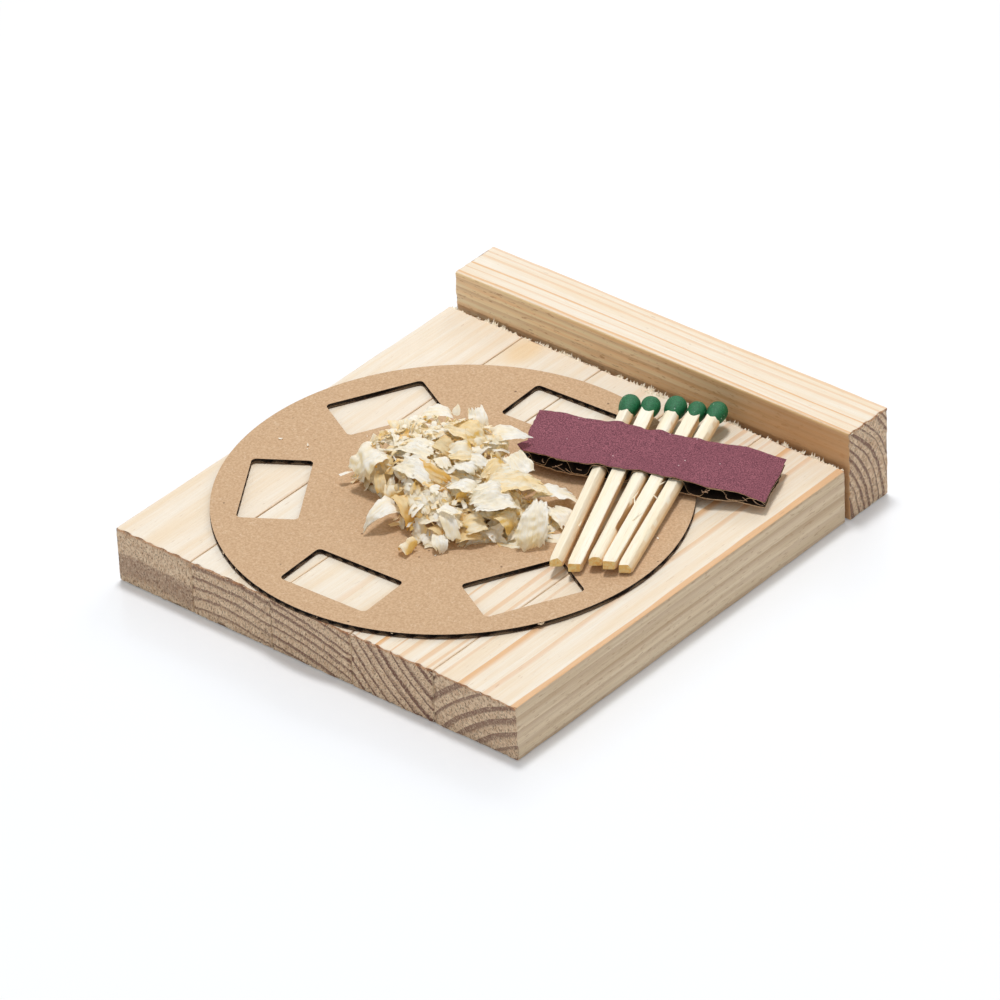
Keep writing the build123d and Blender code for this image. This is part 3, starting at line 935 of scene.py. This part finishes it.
def hang_fibres(finish):
    """Curled strands torn loose from the medium along the strip's near edge."""
    mesh = Mesh()
    for along, height, length, bearing, curl in strip_fibres:
        spot = Vector((along, between(strip_near_edge, along) + 0.5, height + 0.3))
        heading = math.radians(bearing)
        for i in range(fibre_rings):
            share = i / (fibre_rings - 1)
            radius = fibre_radius * (1.3 - 0.6 * share)
            side = Vector((-math.sin(heading), math.cos(heading), 0)) * radius
            offsets = (side, Vector((0, 0, radius)), -side, Vector((0, 0, -radius)))
            mesh.points += [strip_frame @ (spot + offset) for offset in offsets]
            heading += curl * length / fibre_rings * 0.9
            fall = math.sin(3.0 * share + along) * 0.35 - 0.1
            ahead = Vector((math.cos(heading), math.sin(heading) * 0.6, fall))
            spot = spot + ahead * length / fibre_rings
            spot.z = max(spot.z, -0.2)
        start = len(mesh.points) - 4 * fibre_rings
        mesh.faces += tube_sides(4, fibre_rings - 1, start)
        mesh.faces.append(tuple(start + k for k in range(4)))
        mesh.faces.append(tuple(start + 4 * (fibre_rings - 1) + k for k in range(4)))
    make_piece("strip_fibres", mesh.points, mesh.faces, [finish], "strip")


def dress_strip():
    """The striking card: crumpled liners, a crushed medium and the gritty coat on top."""
    outer = plain_board("strip_board", paint(176, 142, 106), paint(216, 186, 150))
    # Painted shade: near-black board for the liners' inner faces and both sides of the medium, for the deep
    # shade inside the flutes
    inner = plain_board("strip_board_painted_shade", paint(34, 25, 21), paint(62, 46, 36))
    cut = plain_board("strip_board_cut", paint(170, 136, 104), paint(226, 198, 162), 3.0)
    coat = striking_coat()
    looks = [outer, inner, cut, coat]

    def crumple(u, v, seed):
        return 0.09 * ripple((u, v, 0), 0.28, seed) + 0.03 * ripple((u, v, 0), 0.9, seed)

    def top_level(u, v):
        return 0.2 + between(core_levels, u) + card_rise(u, v) + crumple(u, v, 3)

    def under_level(u, v):
        return 0.25 * max(0.0, (-u - 14) / 10) * max(0.0, -v / 7) * ripple((u, 0, 0), 0.7, 9)

    layers = {
        "strip_under_sheet": ("strip_bottom_liner", under_level, 0.2, 0.1, 0.35, 31, (1, 0, 2)),
        "strip_upper_sheet": ("strip_top_liner", top_level, 0.2, 0.12, 0.3, 32, (2, 1, 2)),
        "strip_coat": ("striker_paper", lambda u, v: top_level(u, v) + 0.2, 0.1, 0.0, 0.22, 32, (3, 3, 3)),
    }
    for name, (node, level, thickness, inset, jag, seed, finishes) in layers.items():
        mesh = Mesh()
        card_sheet(mesh, level, thickness, inset, jag, seed, finishes)
        piece = make_piece(name, mesh.points, mesh.faces, looks, "strip", True, mesh.finishes)
        keep_corners(piece)
        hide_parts(node)

    def medium_level(u, v):
        level = flute_level(u + 0.7 * ripple((u, 0.4 * v, 0), 0.45, 12))
        return 0.2 + level + min(0.0, card_rise(u, v)) + 0.05 * ripple((u, v, 0), 0.8, 5)

    mesh = Mesh()
    # The medium takes the painted-shade board on both of its sides
    card_sheet(mesh, medium_level, 0.13, 0.15, 0.5, 33, (1, 1, 2), 260, 20)
    piece = make_piece(
        "strip_medium", mesh.points, mesh.faces, looks, "strip", True, mesh.finishes
    )
    keep_corners(piece, 50)
    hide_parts("strip_flute")
    hang_fibres(plain_board("strip_torn_fibres", paint(170, 128, 100), paint(226, 196, 166), 3.0, 0.03))


# Matches


def match_frame(i):
    """Where a match lies: its foot at the origin and Y along it."""
    level = match_gaps_below[i % 2] + liner_thickness + match_section / 2
    return (
        strip_frame
        @ Matrix.Translation((match_places[i], 0, level))
        @ Matrix.Rotation(math.radians(match_yaws[i]), 4, "Z")
        @ Matrix.Rotation(math.radians(match_pitches[i]), 4, "X")
        @ Matrix.Translation((0, match_head_ends[i] - match_length, 0))
    )


splint_sides = (
    ((-1.34, -1.12), (1.28, -1.12), (1.42, 0.0), (0.3, 1.28), (-1.36, 0.5)),
    ((-1.3, -1.12), (1.28, -1.12), (1.34, 1.0), (-1.32, 1.16)),
    ((-1.4, -1.12), (1.3, -1.12), (1.44, 0.2), (0.75, 1.16), (-0.7, 1.18), (-1.46, 0.5)),
    ((-1.3, -1.12), (1.26, -1.12), (1.28, 1.02), (-1.32, 1.18)),
    ((-1.3, -1.12), (1.28, -1.12), (1.4, 0.1), (0.62, 1.18), (-1.3, 1.04)),
)
splint_rows = 72
splint_arris = 0.16
torn_match = 2
torn_side = ((0.0, 2.0), (10.0, 2.0), (10.8, 0.7), (14.0, 0.85), (18.5, 1.2), (22.5, 1.5), (60.0, 2.0))


def rounded_sides(corners):
    """A polygon with each corner cut to two, as (x, z) points."""
    points = []
    for i, corner in enumerate(corners):
        here = Vector(corner)
        for other in (corners[i - 1], corners[(i + 1) % len(corners)]):
            towards = (Vector(other) - here).normalized()
            points.append(here + towards * splint_arris)
    return points


def split_splint(i):
    """A match's stick, a little uneven along its length."""
    outline = rounded_sides(splint_sides[i])
    count = len(outline)
    place = match_frame(i)
    length = match_length - 1.2
    points = []
    for row in range(splint_rows + 1):
        y = length * row / splint_rows + (0.18 if row == 1 else 0)
        worn = 0.86 if row == 0 else 1.0
        for k, corner in enumerate(outline):
            swell = 1 + 0.05 * ripple((k * 0.9, y, i), 0.09, 40 + i)
            swell += 0.018 * ripple((k * 2.0, y, i), 0.8, 50 + i)
            slant = 0.25 * corner.x if row == 0 else 0.0
            x, z = corner * min(swell, 1.03) * worn
            if i == torn_match:
                x = min(x, between(torn_side, y))
            points.append(place @ Vector((x, y + slant, z)))
    faces = [tuple(range(count))] + tube_sides(count, splint_rows)
    faces.append(tuple(range(splint_rows * count, (splint_rows + 1) * count)))
    return points, faces


head_sizes = ((4.2, 5.5), (3.9, 5.2), (4.4, 5.6), (3.85, 5.3), (4.0, 5.5))
head_rows = 26
head_turns = 40


def dipped_head(i):
    """An egg of compound round the splint's end, a little lopsided, with a crusty skin."""
    width, length = head_sizes[i]
    radius = width / 2
    waist = 0.56
    front = radius * 1.02
    rear = (length - front) / math.sqrt(1 - waist * waist)
    place = match_frame(i)
    centre = match_length - front
    points = []
    for row in range(head_rows):
        share = row / (head_rows - 1)
        y = -(length - front) + length * (0.5 - 0.5 * math.cos(math.pi * min(share, 0.985)))
        reach = front if y > 0 else rear
        around = radius * math.sqrt(max(0.0, 1 - (y / reach) ** 2))
        for k in range(head_turns):
            a = math.tau * k / head_turns
            p = Vector((math.cos(a) * around, centre + y, math.sin(a) * around))
            crust = 0.05 * ripple(p, 0.7, 60 + i) + 0.022 * ripple(p, 2.6, 70 + i)
            outward = Vector((math.cos(a), 0, math.sin(a)))
            points.append(place @ (p + outward * crust))
    last = len(points)
    points.append(place @ Vector((0, match_length + 0.01, 0)))
    faces = [tuple(range(head_turns))] + tube_sides(head_turns, head_rows - 1)
    tip = (head_rows - 1) * head_turns
    faces += [(tip + k, tip + (k + 1) % head_turns, last) for k in range(head_turns)]
    return points, faces


# Splinters on the matches: match, distance from the foot, across, height, length, turn
match_splinters = (
    (2, 33.0, 0.4, 1.1, 3.2, 30.0), (2, 30.5, 0.9, 1.05, 2.2, -15.0), (2, 21.0, 1.2, 0.7, 2.4, 12.0),
    (3, 19.0, -1.1, 1.0, 2.6, -20.0), (3, 14.0, 0.2, 1.15, 3.4, 14.0), (3, 27.0, 1.15, 0.9, 1.6, 40.0),
    (4, 22.0, -1.1, 1.0, 1.8, -60.0), (0, 12.0, 1.2, 0.3, 1.6, 8.0), (1, 26.0, 1.15, 0.8, 2.0, 10.0),
)


def splinter(mesh, i, y, x, z, length, turn):
    """A sliver that has come half loose from a splint."""
    place = match_frame(i)
    a = math.radians(turn)
    ahead = Vector((math.sin(a), math.cos(a), 0.12)).normalized()
    side = Vector((math.cos(a), -math.sin(a), 0)) * 0.16
    rise = Vector((0, 0, 0.09))
    root = Vector((x, y, z))
    middle = root + ahead * length * 0.5 + rise
    tip = root + ahead * length + rise * 2
    points = [root - side, root - rise, root + side, root + rise]
    points += [middle - side * 0.8, middle - rise * 0.7, middle + side * 0.8, middle + rise, tip]
    mesh.add([place @ p for p in points], sliver_faces)


def dress_matches():
    """Five matches: uneven split splints, dipped heads and loose splinters."""
    wood = splint_wood()
    compound = match_compound()
    for i in range(5):
        body = f"match_{i + 1}"
        points, faces = split_splint(i)
        piece = make_piece(f"splint_{i + 1}", points, faces, [wood], body)
        keep_corners(piece, 28)
        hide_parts(f"match_splint_{i + 1}")
        points, faces = dipped_head(i)
        piece = make_piece(f"head_{i + 1}", points, faces, [compound], body)
        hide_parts(f"match_head_{i + 1}")
        mesh = Mesh()
        for row in match_splinters:
            if row[0] == i:
                splinter(mesh, *row)
        if mesh.points:
            make_piece(f"splinters_{i + 1}", mesh.points, mesh.faces, [wood], body, False)


# Shavings

heap_outline = (
    (-22.1, -11.5), (-15.4, -12.5), (-8.0, -15.5), (-1.0, -20.5), (6.5, -19.5), (11.0, -13.5),
    (17.0, -9.5), (22.0, -4.0), (18.5, 3.0), (12.0, 4.5), (6.0, 4.5), (3.5, 8.0), (0.0, 11.5),
    (-5.0, 13.0), (-11.0, 12.5), (-16.0, 10.5), (-20.5, 7.0), (-23.0, 2.0), (-24.0, -4.0),
)
heap_floor = 13.4
heap_crown = 8.6
heap_least = 2.8
heap_peak_x = -5.0
heap_fall = 0.25
heap_shoulder = 9.0
heap_steep = 4.5
shaving_row = 0.4
shaving_column = 0.3
shaving_ragged = 0.16
shaving_cone = 0.25
flake_place = "flake_place"


def depth_inside(x, y):
    """How far a point lies inside the heap's outline; below zero where it lies outside."""
    spot = Vector((x, y))
    nearest, inside = 1e9, False
    for first, second in zip(heap_outline, heap_outline[1:] + heap_outline[:1]):
        a, b = Vector(first), Vector(second)
        share = max(0.0, min(1.0, (spot - a).dot(b - a) / (b - a).length_squared))
        nearest = min(nearest, (spot - a - (b - a) * share).length)
        if (a.y > y) != (b.y > y) and x < a.x + (b.x - a.x) * (y - a.y) / (b.y - a.y):
            inside = not inside
    return nearest if inside else -nearest


def heap_top(x, y):
    """Height of the heap over a point of the disc. It is lower towards the matches."""
    crown = max(heap_least, heap_crown - heap_fall * max(0.0, x - heap_peak_x))
    shoulder = heap_steep + (heap_shoulder - heap_steep) * max(0.0, min(1.0, x / 12))
    share = max(0.0, min(1.0, depth_inside(x, y) / shoulder))
    return heap_floor + crown * (1 - (1 - share) ** 2.2)


class Flakes(Mesh):
    """Shavings of one group, with the place of each point on its own flake."""

    def __init__(self):
        super().__init__()
        self.places = []


def shaving(flakes, place, length, width, radius, tone, fan, bite, rng):
    """One curled shaving: its crown at the place's origin, curled about the place's Y."""
    seed = rng.uniform(0, 90)
    spiral = rng.uniform(-0.6, 0.9)
    shear = rng.uniform(-0.25, 0.25)
    rib_pitch = rng.uniform(0.8, 1.5)
    rib_height = min(0.15, 0.025 * width) * rng.uniform(0.5, 1.3)
    crumple = min(0.42, 0.065 * width)
    taper = rng.uniform(0.05, 0.35)
    identity = rng.uniform(0, 1000)
    half = max(4, round(length / shaving_row / 2))
    columns = max(3, round(width / shaving_column))
    torn = {way: [rng.random() ** 2 for _ in range(columns + 1)] for way in (-1, 1)}
    count = 2 * half + 1
    points, places = [], []
    for j in range(columns + 1):
        t = j / columns - 0.5
        across = t * width
        line = {half: (0.0, 0.0, 0.0)}
        for way in (-1, 1):
            x = z = angle = 0.0
            fringe = 1 + shaving_ragged * 1.4 * noise.noise(Vector((across * 0.9, seed, way)))
            fringe -= min(0.45, bite * 6.0 / length) * torn[way][j]
            fringe *= 1 - 0.3 * abs(fan) * (2 * t) ** 2 * (way * fan < 0)
            step = length * fringe / (2 * half)
            for i in range(1, half + 1):
                bend = (1 + spiral * way * i / half) * (1 + shaving_cone * t * 2) / radius
                angle += bend * step
                x += math.cos(angle) * step
                z -= math.sin(angle) * step
                line[half + way * i] = (way * x, z, way * angle)
        for i in range(count):
            x, z, angle = line[i]
            s = i / half - 1
            along = s * length / 2
            edge = 1 - taper * abs(s) ** 1.6 + 0.12 * noise.noise(Vector((along * 0.7, seed, 9 * (t > 0))))
            edge += 0.07 * noise.noise(Vector((along * 2.6, seed, 9 * (t > 0))))
            y = across * edge * (1 + fan * s) + shear * s * length * 0.3
            normal = Vector((math.sin(angle), 0, math.cos(angle)))
            fold = noise.noise(Vector((along * 0.32, across * 0.2, seed)))
            crease = abs(noise.noise(Vector((along * 0.5, across * 0.4, seed + 9))))
            pucker = noise.noise(Vector((along * 0.9, across * 1.3, seed + 5)))
            rib = abs(math.sin(math.pi * across / rib_pitch + 2.5 * fold))
            wave = crumple * (1.6 * fold + 1.5 * crease + 0.8 * pucker) - rib_height * rib * (0.4 + abs(s))
            points.append(place @ (Vector((x, y, z)) + normal * wave))
            places.append((along, across, identity))
    start = len(flakes.points)
    flakes.points += points
    flakes.places += places
    for j in range(columns):
        for i in range(count - 1):
            corner = start + j * count + i
            flakes.faces.append((corner, corner + 1, corner + count + 1, corner + count))
            flakes.finishes.append(tone)


def lay(x, y, z, yaw, pitch, roll):
    """A place with its turns: yaw about Z, then pitch about Y and roll about X."""
    return (
        Matrix.Translation((x, y, z))
        @ Matrix.Rotation(math.radians(yaw), 4, "Z")
        @ Matrix.Rotation(math.radians(pitch), 4, "Y")
        @ Matrix.Rotation(math.radians(roll), 4, "X")
    )


# Shavings that stand out in the heap: group, place, turns, length, width, curl radius, tone, how much
# wider the far end is than the near one, and how deep the teeth in the ends are
marked_shavings = (
    ("left", (-17.7, -10.7, 20.8), (-107, 12, 0), 9.5, 7.0, 3.6, 0, -0.1, 0.1),
    ("left", (-22.8, -12.5, 15.5), (-127, 8, 10), 2.8, 1.1, 8, 0, 0.55, 0.05),
    ("left", (-13.4, -13.2, 17.1), (-50, 50, 0), 4.0, 2.4, 6, 1, 0.0, 0.05),
    ("left", (-23.0, -3.6, 18.7), (149, -55, 20), 2.2, 1.9, 8, 0, -0.6, 0.1),
    ("left", (-22.2, -6.7, 19.1), (-119, 11, 0), 4.3, 2.6, 1.7, 0, 0.0, 0.1),
    ("left", (-9.5, -13.7, 17.1), (-35, 49, 0), 3.7, 4.0, 3.0, 1, 0.0, 0.2),
    ("front", (-7.2, -21.0, 17.2), (-96, 20, -8), 9.6, 3.5, 6, 0, -0.75, 0.12),
    ("front", (-5.4, -18.7, 13.8), (53, -3, 0), 2.0, 1.3, 9, 1, 0.0, 0.05),
    ("front", (-2.8, -16.7, 17.8), (-19, 31, 0), 7.7, 4.6, 4.0, 2, 0.0, 0.2),
    ("front", (7.1, -19.7, 15.4), (-37, 32, 0), 4.9, 3.2, 3.2, 0, 0.0, 0.45),
    ("front", (1.7, -16.7, 17.7), (22, -21, 16), 5.6, 4.6, 12, 0, 0.0, 0.22),
    ("front", (6.6, -16.4, 17.8), (-36, 38, 6), 6.7, 2.9, 7, 0, 0.0, 0.05),
    ("front", (5.5, -15.2, 19.8), (7, 12, 10), 3.5, 2.0, 5, 0, 0.0, 0.05),
    ("front", (5.1, -17.1, 16.5), (2, 26, 0), 5.3, 3.6, 2.0, 2, 0.0, 0.2),
    ("front", (0.0, -12.6, 20.9), (31, 6, 10), 2.0, 2.5, 3, 0, 0.2, 0.3),
    ("front", (1.1, -14.0, 19.8), (-26, 35, 0), 2.1, 2.0, 3, 0, -0.3, 0.2),
    ("front", (14.1, -8.1, 17.4), (0, 25, 0), 6.9, 4.6, 2.6, 1, 0.0, 0.5),
    ("front", (12.5, -11.0, 14.9), (-1, 18, 0), 4.2, 2.2, 3, 0, 0.0, 0.6),
    ("front", (9.6, -14.6, 15.3), (47, -9, 10), 5.4, 3.2, 5, 1, 0.0, 0.2),
    ("front", (9.9, -12.6, 17.1), (49, 3, 20), 4.7, 5.0, 4, 1, 0.0, 0.2),
    ("front", (2.1, -23.6, 15.4), (-8, 0, 12), 4.8, 3.8, 1.15, 1, 0.0, 0.12),
    ("right", (19.6, -6.5, 18.2), (-55, 33, 0), 10.9, 5.8, 7.5, 0, 0.36, 0.16),
    ("right", (9.2, -0.2, 19.8), (63, 12, 0), 14.4, 7.4, 11, 1, 0.1, 0.4),
    ("right", (10.7, -6.6, 20.6), (66, 9, 14), 11.4, 7.6, 6, 0, 0.0, 0.3),
    ("right", (14.7, 5.5, 16.4), (57, 10, 0), 9.3, 5.4, 10, 0, 0.2, 0.45),
    ("right", (19.3, 1.9, 15.1), (-11, 16, 0), 6.1, 4.6, 9, 0, 0.2, 0.45),
    ("right", (5.3, 6.4, 18.8), (-10, 23, 0), 5.1, 5.0, 14, 0, 0.0, 0.06),
    ("right", (4.4, 1.6, 20.1), (75, 8, 14), 8.0, 5.0, 6, 1, 0.0, 0.2),
    ("back", (-19.5, 1.7, 19.6), (37, -13, 20), 9.0, 4.6, 12, 0, 0.3, 0.45),
    ("back", (-18.3, 10.0, 20.1), (40, -5, 0), 7.1, 4.4, 4.2, 0, 0.0, 0.1),
    ("back", (-15.3, 12.2, 20.3), (105, -38, 0), 2.6, 1.5, 6, 0, -0.6, 0.4),
    ("back", (-9.3, 11.3, 21.3), (147, -34, 0), 4.7, 3.7, 12, 0, -0.1, 0.4),
    ("back", (-1.3, 11.4, 20.6), (46, 1, 10), 8.2, 4.2, 10, 0, -0.5, 0.1),
    ("back", (-1.4, 7.9, 20.2), (-33, 27, 0), 7.3, 4.2, 3, 1, 0.0, 0.3),
    ("back", (-12.3, 3.2, 21.1), (77, -3, 0), 4.5, 4.4, 4, 1, 0.0, 0.3),
    ("ring", (-7.2, -1.7, 23.0), (-8, -2, 30), 6.9, 3.6, 2.6, 2, 0.0, 0.3),
    ("ring", (4.1, -8.1, 21.0), (6, 9, 0), 7.7, 4.6, 4, 0, -0.2, 0.5),
    ("ring", (-3.9, -5.6, 22.1), (-20, 8, 0), 4.3, 2.8, 4, 0, 0.0, 0.3),
    ("crown", (-7.0, -10.1, 21.9), (11, -2, 14), 9.8, 5.6, 9, 0, 0.1, 0.35),
    ("crown", (-12.5, -4.5, 22.0), (-3, -9, 8), 10.3, 5.4, 9, 0, 0.0, 0.3),
    ("crown", (-7.0, 5.3, 22.6), (9, 8, 0), 9.0, 6.4, 6, 1, 0.0, 0.35),
    ("crown", (-2.3, -1.4, 22.9), (40, 8, 10), 5.8, 5.6, 4.6, 1, 0.0, 0.3),
    ("crown", (0.5, -3.3, 21.9), (11, 21, 0), 4.8, 4.8, 4.0, 0, 0.0, 0.25),
    ("crown", (0.7, -0.7, 21.6), (12, 17, 6), 4.4, 3.4, 7, 0, 0.0, 0.3),
    ("crown", (-3.3, -10.6, 20.3), (8, 4, 52), 12.5, 6.4, 9, 2, 0.0, 0.3),
)
heap_groups = ("left", "front", "right", "back", "skirt", "ring", "crown")
# Loose shavings: how many, lengths, widths, curl radii, how near the top and how far they tilt
loose_shavings = (
    (40, (6.0, 10.0), (4.0, 7.0), (3.5, 10.0), 1.6, 0.26),
    (130, (4.0, 7.0), (2.4, 4.6), (2.0, 7.0), 2.0, 0.36),
    (190, (2.2, 4.6), (1.2, 2.8), (1.2, 4.0), 3.0, 0.5),
    (240, (2.0, 5.0), (0.25, 0.7), (1.2, 4.0), 4.0, 0.7),
    (260, (1.0, 2.6), (0.6, 1.6), (0.9, 3.0), 9.0, 0.6),
)
cupped_share = 0.25
tone_weights = (6, 6, 1)
slope_limit = 1.3


def scatter_shavings(groups, rng):
    """Fills the heap with shavings that lie along its surface, most of them near it."""
    for count, lengths, widths, radii, shallow, tilt in loose_shavings:
        while count:
            x, y = rng.uniform(-24, 22), rng.uniform(-21, 13)
            inside = depth_inside(x, y)
            if inside < 0.4:
                continue
            count -= 1
            top = heap_top(x, y)
            z = top - (top - heap_floor) * 0.9 * rng.random() ** shallow - min(1.2, 0.15 * lengths[1])
            slope = [heap_top(x + 1, y) - heap_top(x - 1, y), heap_top(x, y + 1) - heap_top(x, y - 1)]
            slope = [max(-slope_limit, min(slope_limit, 0.4 * part)) for part in slope]
            jitter = Vector((rng.gauss(0, tilt), rng.gauss(0, tilt), 0))
            normal = (Vector((-slope[0], -slope[1], 1)) + jitter).normalized()
            turn = normal.to_track_quat("Z", "Y").to_matrix().to_4x4()
            spin = Matrix.Rotation(rng.uniform(0, math.tau), 4, "Z")
            if rng.random() < cupped_share:
                spin = spin @ Matrix.Rotation(math.pi, 4, "X")
            place = Matrix.Translation((x, y, z)) @ turn @ spin
            share = max(0.0, 1 - inside / 12)
            tone = rng.choices((0, 1, 2), tone_weights)[0]
            name = "crown" if share < 0.35 else "ring" if share < 0.7 else "skirt"
            size = 1 - 0.3 * share
            length, width = rng.uniform(*lengths) * size, rng.uniform(*widths) * size
            radius, fan = rng.uniform(*radii), rng.uniform(-0.6, 0.6)
            bite = rng.uniform(0.05, 0.45) * min(1.0, 5.0 / length)
            shaving(groups[name], place, length, width, radius, tone, fan, bite, rng)


def dress_shavings():
    """The heap: marked shavings where they lie, and many more that fill it."""
    rng = random.Random(7)
    tones = [
        thin_shaving("shaving_pale", paint(255, 254, 247), paint(255, 228, 152), 0.14, 0.45),
        thin_shaving("shaving_cream", paint(255, 252, 234), paint(255, 216, 126), 0.2, 0.9),
        thin_shaving("shaving_golden", paint(255, 242, 200), paint(255, 206, 110), 0.32, 0.8),
    ]
    groups = {name: Flakes() for name in heap_groups}
    for group, spot, turns, *shape in marked_shavings:
        shaving(groups[group], lay(*spot, *turns), *shape, rng)
    scatter_shavings(groups, rng)
    for name, flakes in groups.items():
        lift_off_disc(flakes)
        piece = make_piece(
            f"loose_{name}_shavings", flakes.points, flakes.faces, tones, "tinder",
            True, flakes.finishes,
        )
        spots = piece.data.attributes.new(flake_place, "FLOAT_VECTOR", "POINT")
        spots.data.foreach_set("vector", [part for spot in flakes.places for part in spot])
        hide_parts(f"shavings_{name}")


def lift_off_disc(flakes):
    """Presses points that would go below the disc's top flat onto it."""
    least = disc_top + 0.06
    for point in flakes.points:
        if point.z < least:
            point.z = least + 0.05 * abs(noise.noise(point * 0.8))


# Crumbs on the disc: x, y and size
crumbs = (
    (-43.4, -8.4, 1.1), (-37.6, -7.0, 1.3), (-36.9, -8.0, 0.6), (20.6, 12.5, 0.9),
    (37.6, 8.6, 1.2), (-30.4, 2.4, 0.5), (7.2, -21.4, 0.7), (-26.4, 8.8, 0.6),
)


def dress_crumbs():
    """Tiny chips of shaving that fell on the disc."""
    pale = plain_board("crumb_wood", paint(240, 226, 200), paint(254, 250, 240), 1.5, 0.05)
    spots = [(x, y, disc_top, size) for x, y, size in crumbs]
    torn_bits("disc_crumbs", spots, pale, "disc", random.Random(5))


# Studio


def set_camera():
    """The photograph's viewpoint: a long lens, about 1.5 m away."""
    view = bpy.data.cameras.new("studio_camera")
    view.sensor_width = 36.0
    view.lens = 276.1
    view.clip_start = 0.05
    view.clip_end = 20.0
    camera = bpy.data.objects.new("studio_camera", view)
    bpy.context.scene.collection.objects.link(camera)
    ahead = Vector((-0.54888, 0.62642, -0.55347)).normalized()
    level = ahead.cross(Vector((0, 0, 1))).normalized()
    tilt = Matrix.Rotation(math.radians(2.48), 3, ahead)
    right = tilt @ level
    up = right.cross(ahead)
    turn = Matrix((right, up, -ahead)).transposed().to_4x4()
    camera.matrix_world = Matrix.Translation((0.81655, -0.92565, 0.83164)) @ turn
    bpy.context.scene.camera = camera


def add_lamp(name, place, size, power):
    """A square soft white light that looks at the middle of the row; places are in metres."""
    lamp = bpy.data.lights.new(name, "AREA")
    lamp.size = size
    lamp.energy = power
    holder = bpy.data.objects.new(name, lamp)
    bpy.context.scene.collection.objects.link(holder)
    holder.location = place
    holder.rotation_euler = (-Vector(place)).to_track_quat("-Z", "Y").to_euler()


def build_studio():
    """A white table, a white surround and soft light from above, the left and the back."""
    mesh = bpy.data.meshes.new("studio_floor")
    reach = 6.0
    corners = [(-reach, -reach, 0), (reach, -reach, 0), (reach, reach, 0), (-reach, reach, 0)]
    mesh.from_pydata(corners, [], [(0, 1, 2, 3)])
    mesh.materials.append(studio_floor())
    floor = bpy.data.objects.new("studio_floor", mesh)
    bpy.context.scene.collection.objects.link(floor)
    floor.location.z = -0.0002
    world = bpy.data.worlds.new("studio_surround")
    world.use_nodes = True
    bpy.context.scene.world = world
    wires = Wiring(world.node_tree)
    path = wires.node("ShaderNodeLightPath").outputs
    shown = wires.sum("MAXIMUM", path["Is Camera Ray"], path["Is Glossy Ray"])
    strength = wires.rise(shown, 0.0, 1.0, 0.5, 1.0)
    background = world.node_tree.nodes["Background"]
    background.inputs["Color"].default_value = (1, 1, 1, 1)
    wires.join(strength, background.inputs["Strength"])
    add_lamp("key_light", (-0.16, 0.16, 1.35), 0.22, 10.2)
    add_lamp("back_light", (-0.3, 1.2, 0.9), 0.6, 2.6)


set_camera()
build_studio()
dress_sticks()
dress_disc()
dress_rim()
dress_strip()
dress_matches()
dress_shavings()
dress_crumbs()

bpy.context.scene.view_settings.view_transform = "Standard"
